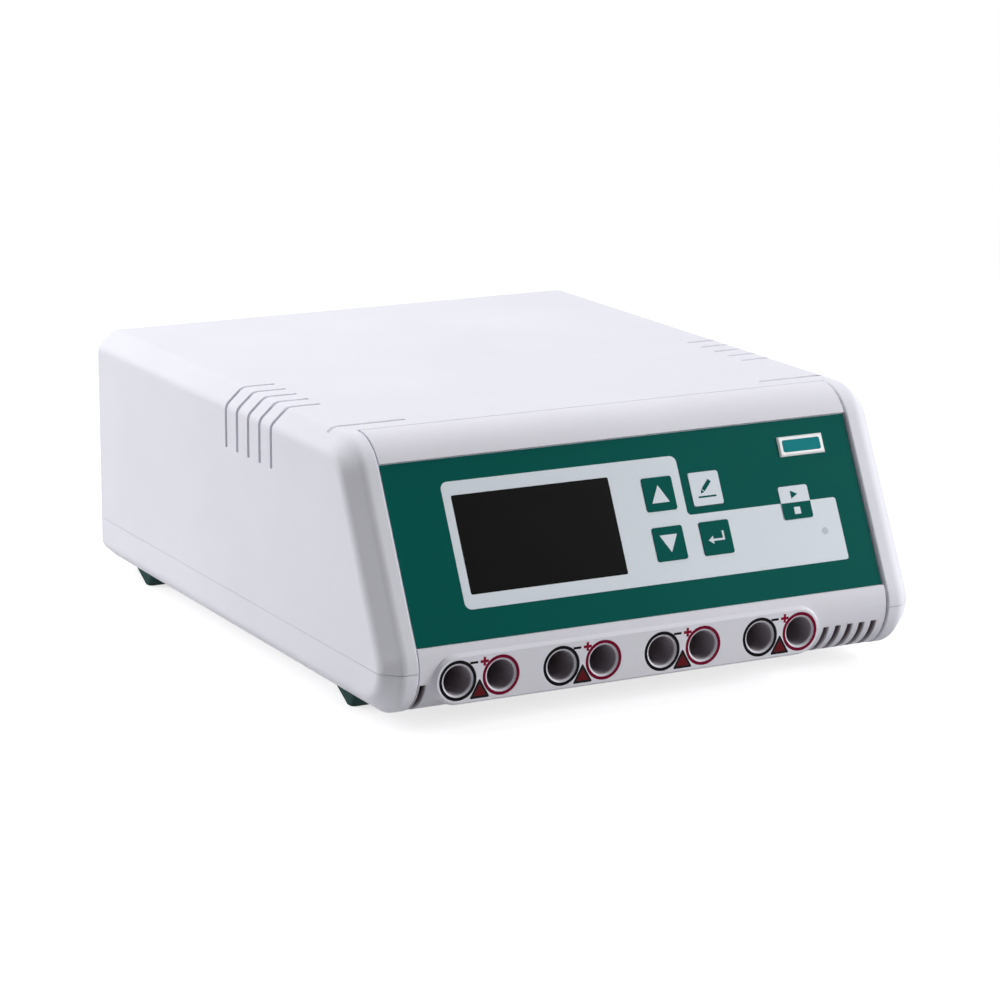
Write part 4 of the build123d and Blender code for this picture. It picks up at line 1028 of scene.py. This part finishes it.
# %% Copy the marks along the boss
mark_set = ((minus, mark_black, "ring_black"), (plus, mark_red, "ring_red"), (border, mark_black, "ring_black"),
            (inner, triangle_red, "ring_red"))
for mark, material, slot_name in mark_set:
    base_name = mark.name
    for i in range(1, 4):
        copy = bpy.data.objects.new(f"{base_name}_{i + 1}", mark.data.copy())
        bpy.context.scene.collection.objects.link(copy)
        copy.data.transform(Matrix.Translation((i * pair_pitch, 0.0, 0.0)))
        settle(copy, on_boss, material, "root")
    mark.name = base_name + "_1"
    settle(mark, on_boss, material, "root")
print("marks copied", 4 * len(mark_set))

# %% [markdown]
# ## Switch marks
# The rocker's face is hollow, an arc about a line in front of it, and it is tipped to its off side. The bar and the
# ring are made flat and then bent: each point takes the height of the arc where it stands. They ride on the rocker.

# %% Mark the rocker
rocker_x, rocker_z = -30.0, 62.0
rocker_axis_in = 3.0
rocker_tilt = radians(9.0)
rocker_radius = 13.5
rocker_arch_lift = 3.2
mark_off_middle = 5.6
mark_half = 2.2
mark_paint = plastic("mark_white", seen(232, 232, 234), seen(200, 200, 204), gloss=0.3, tone=0.04, **paint)
panel_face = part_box("rear_panel")[1].y / MM
rocker_place = (rocker_x, panel_face - rocker_axis_in, rocker_z)
on_rocker = Matrix.Scale(MM, 4) @ Matrix.Translation(rocker_place) @ Matrix.Rotation(-rocker_tilt, 4, "Z")


def bend_to_rocker(piece):
    """Lays flat work on the rocker's hollow face, with its thickness outwards."""
    for point in piece.data.vertices:
        across, up_face, thick = point.co
        arc = rocker_radius + rocker_arch_lift - (rocker_radius ** 2 - across ** 2) ** 0.5
        point.co = (across, arc + thick, up_face)
    return piece


deselect()
bpy.ops.mesh.primitive_circle_add(vertices=48, radius=mark_half, fill_type="NGON",
                                  location=(mark_off_middle, 0.0, 0.0))
off_mark = bpy.context.object
off_mark.name = "switch_off_mark"
keep_place()
edit(off_mark)
take_all()
bpy.ops.mesh.inset(thickness=0.6)
bpy.ops.mesh.delete(type="FACE")
take_all()
pull(0.0, 0.0, ink_thick)
done()
on_mark = flat_bar("switch_on_mark", (-mark_off_middle, -mark_half), (-mark_off_middle, mark_half), 0.7, base=0.0)
for mark in (off_mark, on_mark):
    settle(bend_to_rocker(mark), on_rocker, mark_paint, "rocker")
print("switch marks", off_mark.name, on_mark.name)

# %% [markdown]
# ## Recesses
# The screws come from the frame with plain heads. Each gets a cross cut into its head: a copy of the node is
# welded, its loose parts are found, and one bar in each direction is cut from every head. The fuse drawer gets a
# groove for a fingernail in the same way. The carved copy then stands for the node.

# %% Cut the recesses


def loose_boxes(piece):
    """The corners of the box round every loose part of a mesh, in millimetres."""
    shape = bmesh.new()
    shape.from_mesh(piece.data)
    waiting = set(shape.verts)
    boxes = []
    while waiting:
        front = [waiting.pop()]
        corners = []
        while front:
            vert = front.pop()
            corners.append(vert.co / MM)
            for edge in vert.link_edges:
                other = edge.other_vert(vert)
                if other in waiting:
                    waiting.remove(other)
                    front.append(other)
        low = Vector([min(corner[axis] for corner in corners) for axis in range(3)])
        high = Vector([max(corner[axis] for corner in corners) for axis in range(3)])
        boxes.append((low, high))
    shape.free()
    return sorted(boxes, key=lambda box: tuple(box[0]))


def welded_copy(node_name):
    """A copy of a piece from the frame with its points welded, ready to be cut."""
    copy = bpy.data.objects.new(node_name + "_carved", nodes[node_name].data.copy())
    bpy.context.scene.collection.objects.link(copy)
    edit(copy)
    take_all()
    bpy.ops.mesh.remove_doubles(threshold=1e-6)
    bpy.ops.mesh.customdata_custom_splitnormals_clear()
    done()
    return copy


def cutting_bar(centre, size):
    """A box in millimetres, made in its place in metres."""
    deselect()
    bpy.ops.mesh.primitive_cube_add(size=1.0, location=[value * MM for value in centre])
    bar = bpy.context.object
    bar.scale = [value * MM for value in size]
    keep_place()
    return bar


def stand_in(copy, node_name, body="root"):
    """Finishes a carved copy and lets it stand for its node."""
    alone(copy)
    bpy.ops.object.shade_smooth_by_angle(angle=radians(35.0))
    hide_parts(node_name)
    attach(copy, body)


def cross_heads(node_name, axis, outward_end, long=3.0, wide=0.7, deep=0.8):
    """Cuts a cross into every head of a node of screws, at the low or the high end of an axis."""
    copy = welded_copy(node_name)
    boxes = loose_boxes(copy)
    for lengthways in (other for other in range(3) if other != axis):
        bars = []
        for box in boxes:
            centre = (box[0] + box[1]) / 2
            centre[axis] = box[outward_end][axis]
            size = [wide, wide, wide]
            size[axis] = 2 * deep
            size[lengthways] = long
            bars.append(cutting_bar(centre, size))
        combine(copy, merge("bars", bars), "DIFFERENCE")
    stand_in(copy, node_name)
    return len(boxes)


crossed = [
    cross_heads("fan_screws", 1, 1),
    cross_heads("rear_screws", 1, 1),
    cross_heads("case_screws", 2, 0),
    cross_heads("foot_screws", 2, 0),
]
drawer = welded_copy("fuse_drawer")
low, high = (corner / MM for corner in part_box("fuse_drawer"))
nail_groove = cutting_bar(((low.x + high.x) / 2, high.y, high.z - 2.2), (9.0, 1.4, 1.1))
combine(drawer, nail_groove, "DIFFERENCE")
stand_in(drawer, "fuse_drawer", "fuse_drawer")
print("crossed heads", crossed)

# %% Finish
bpy.context.scene.view_settings.view_transform = "Standard"
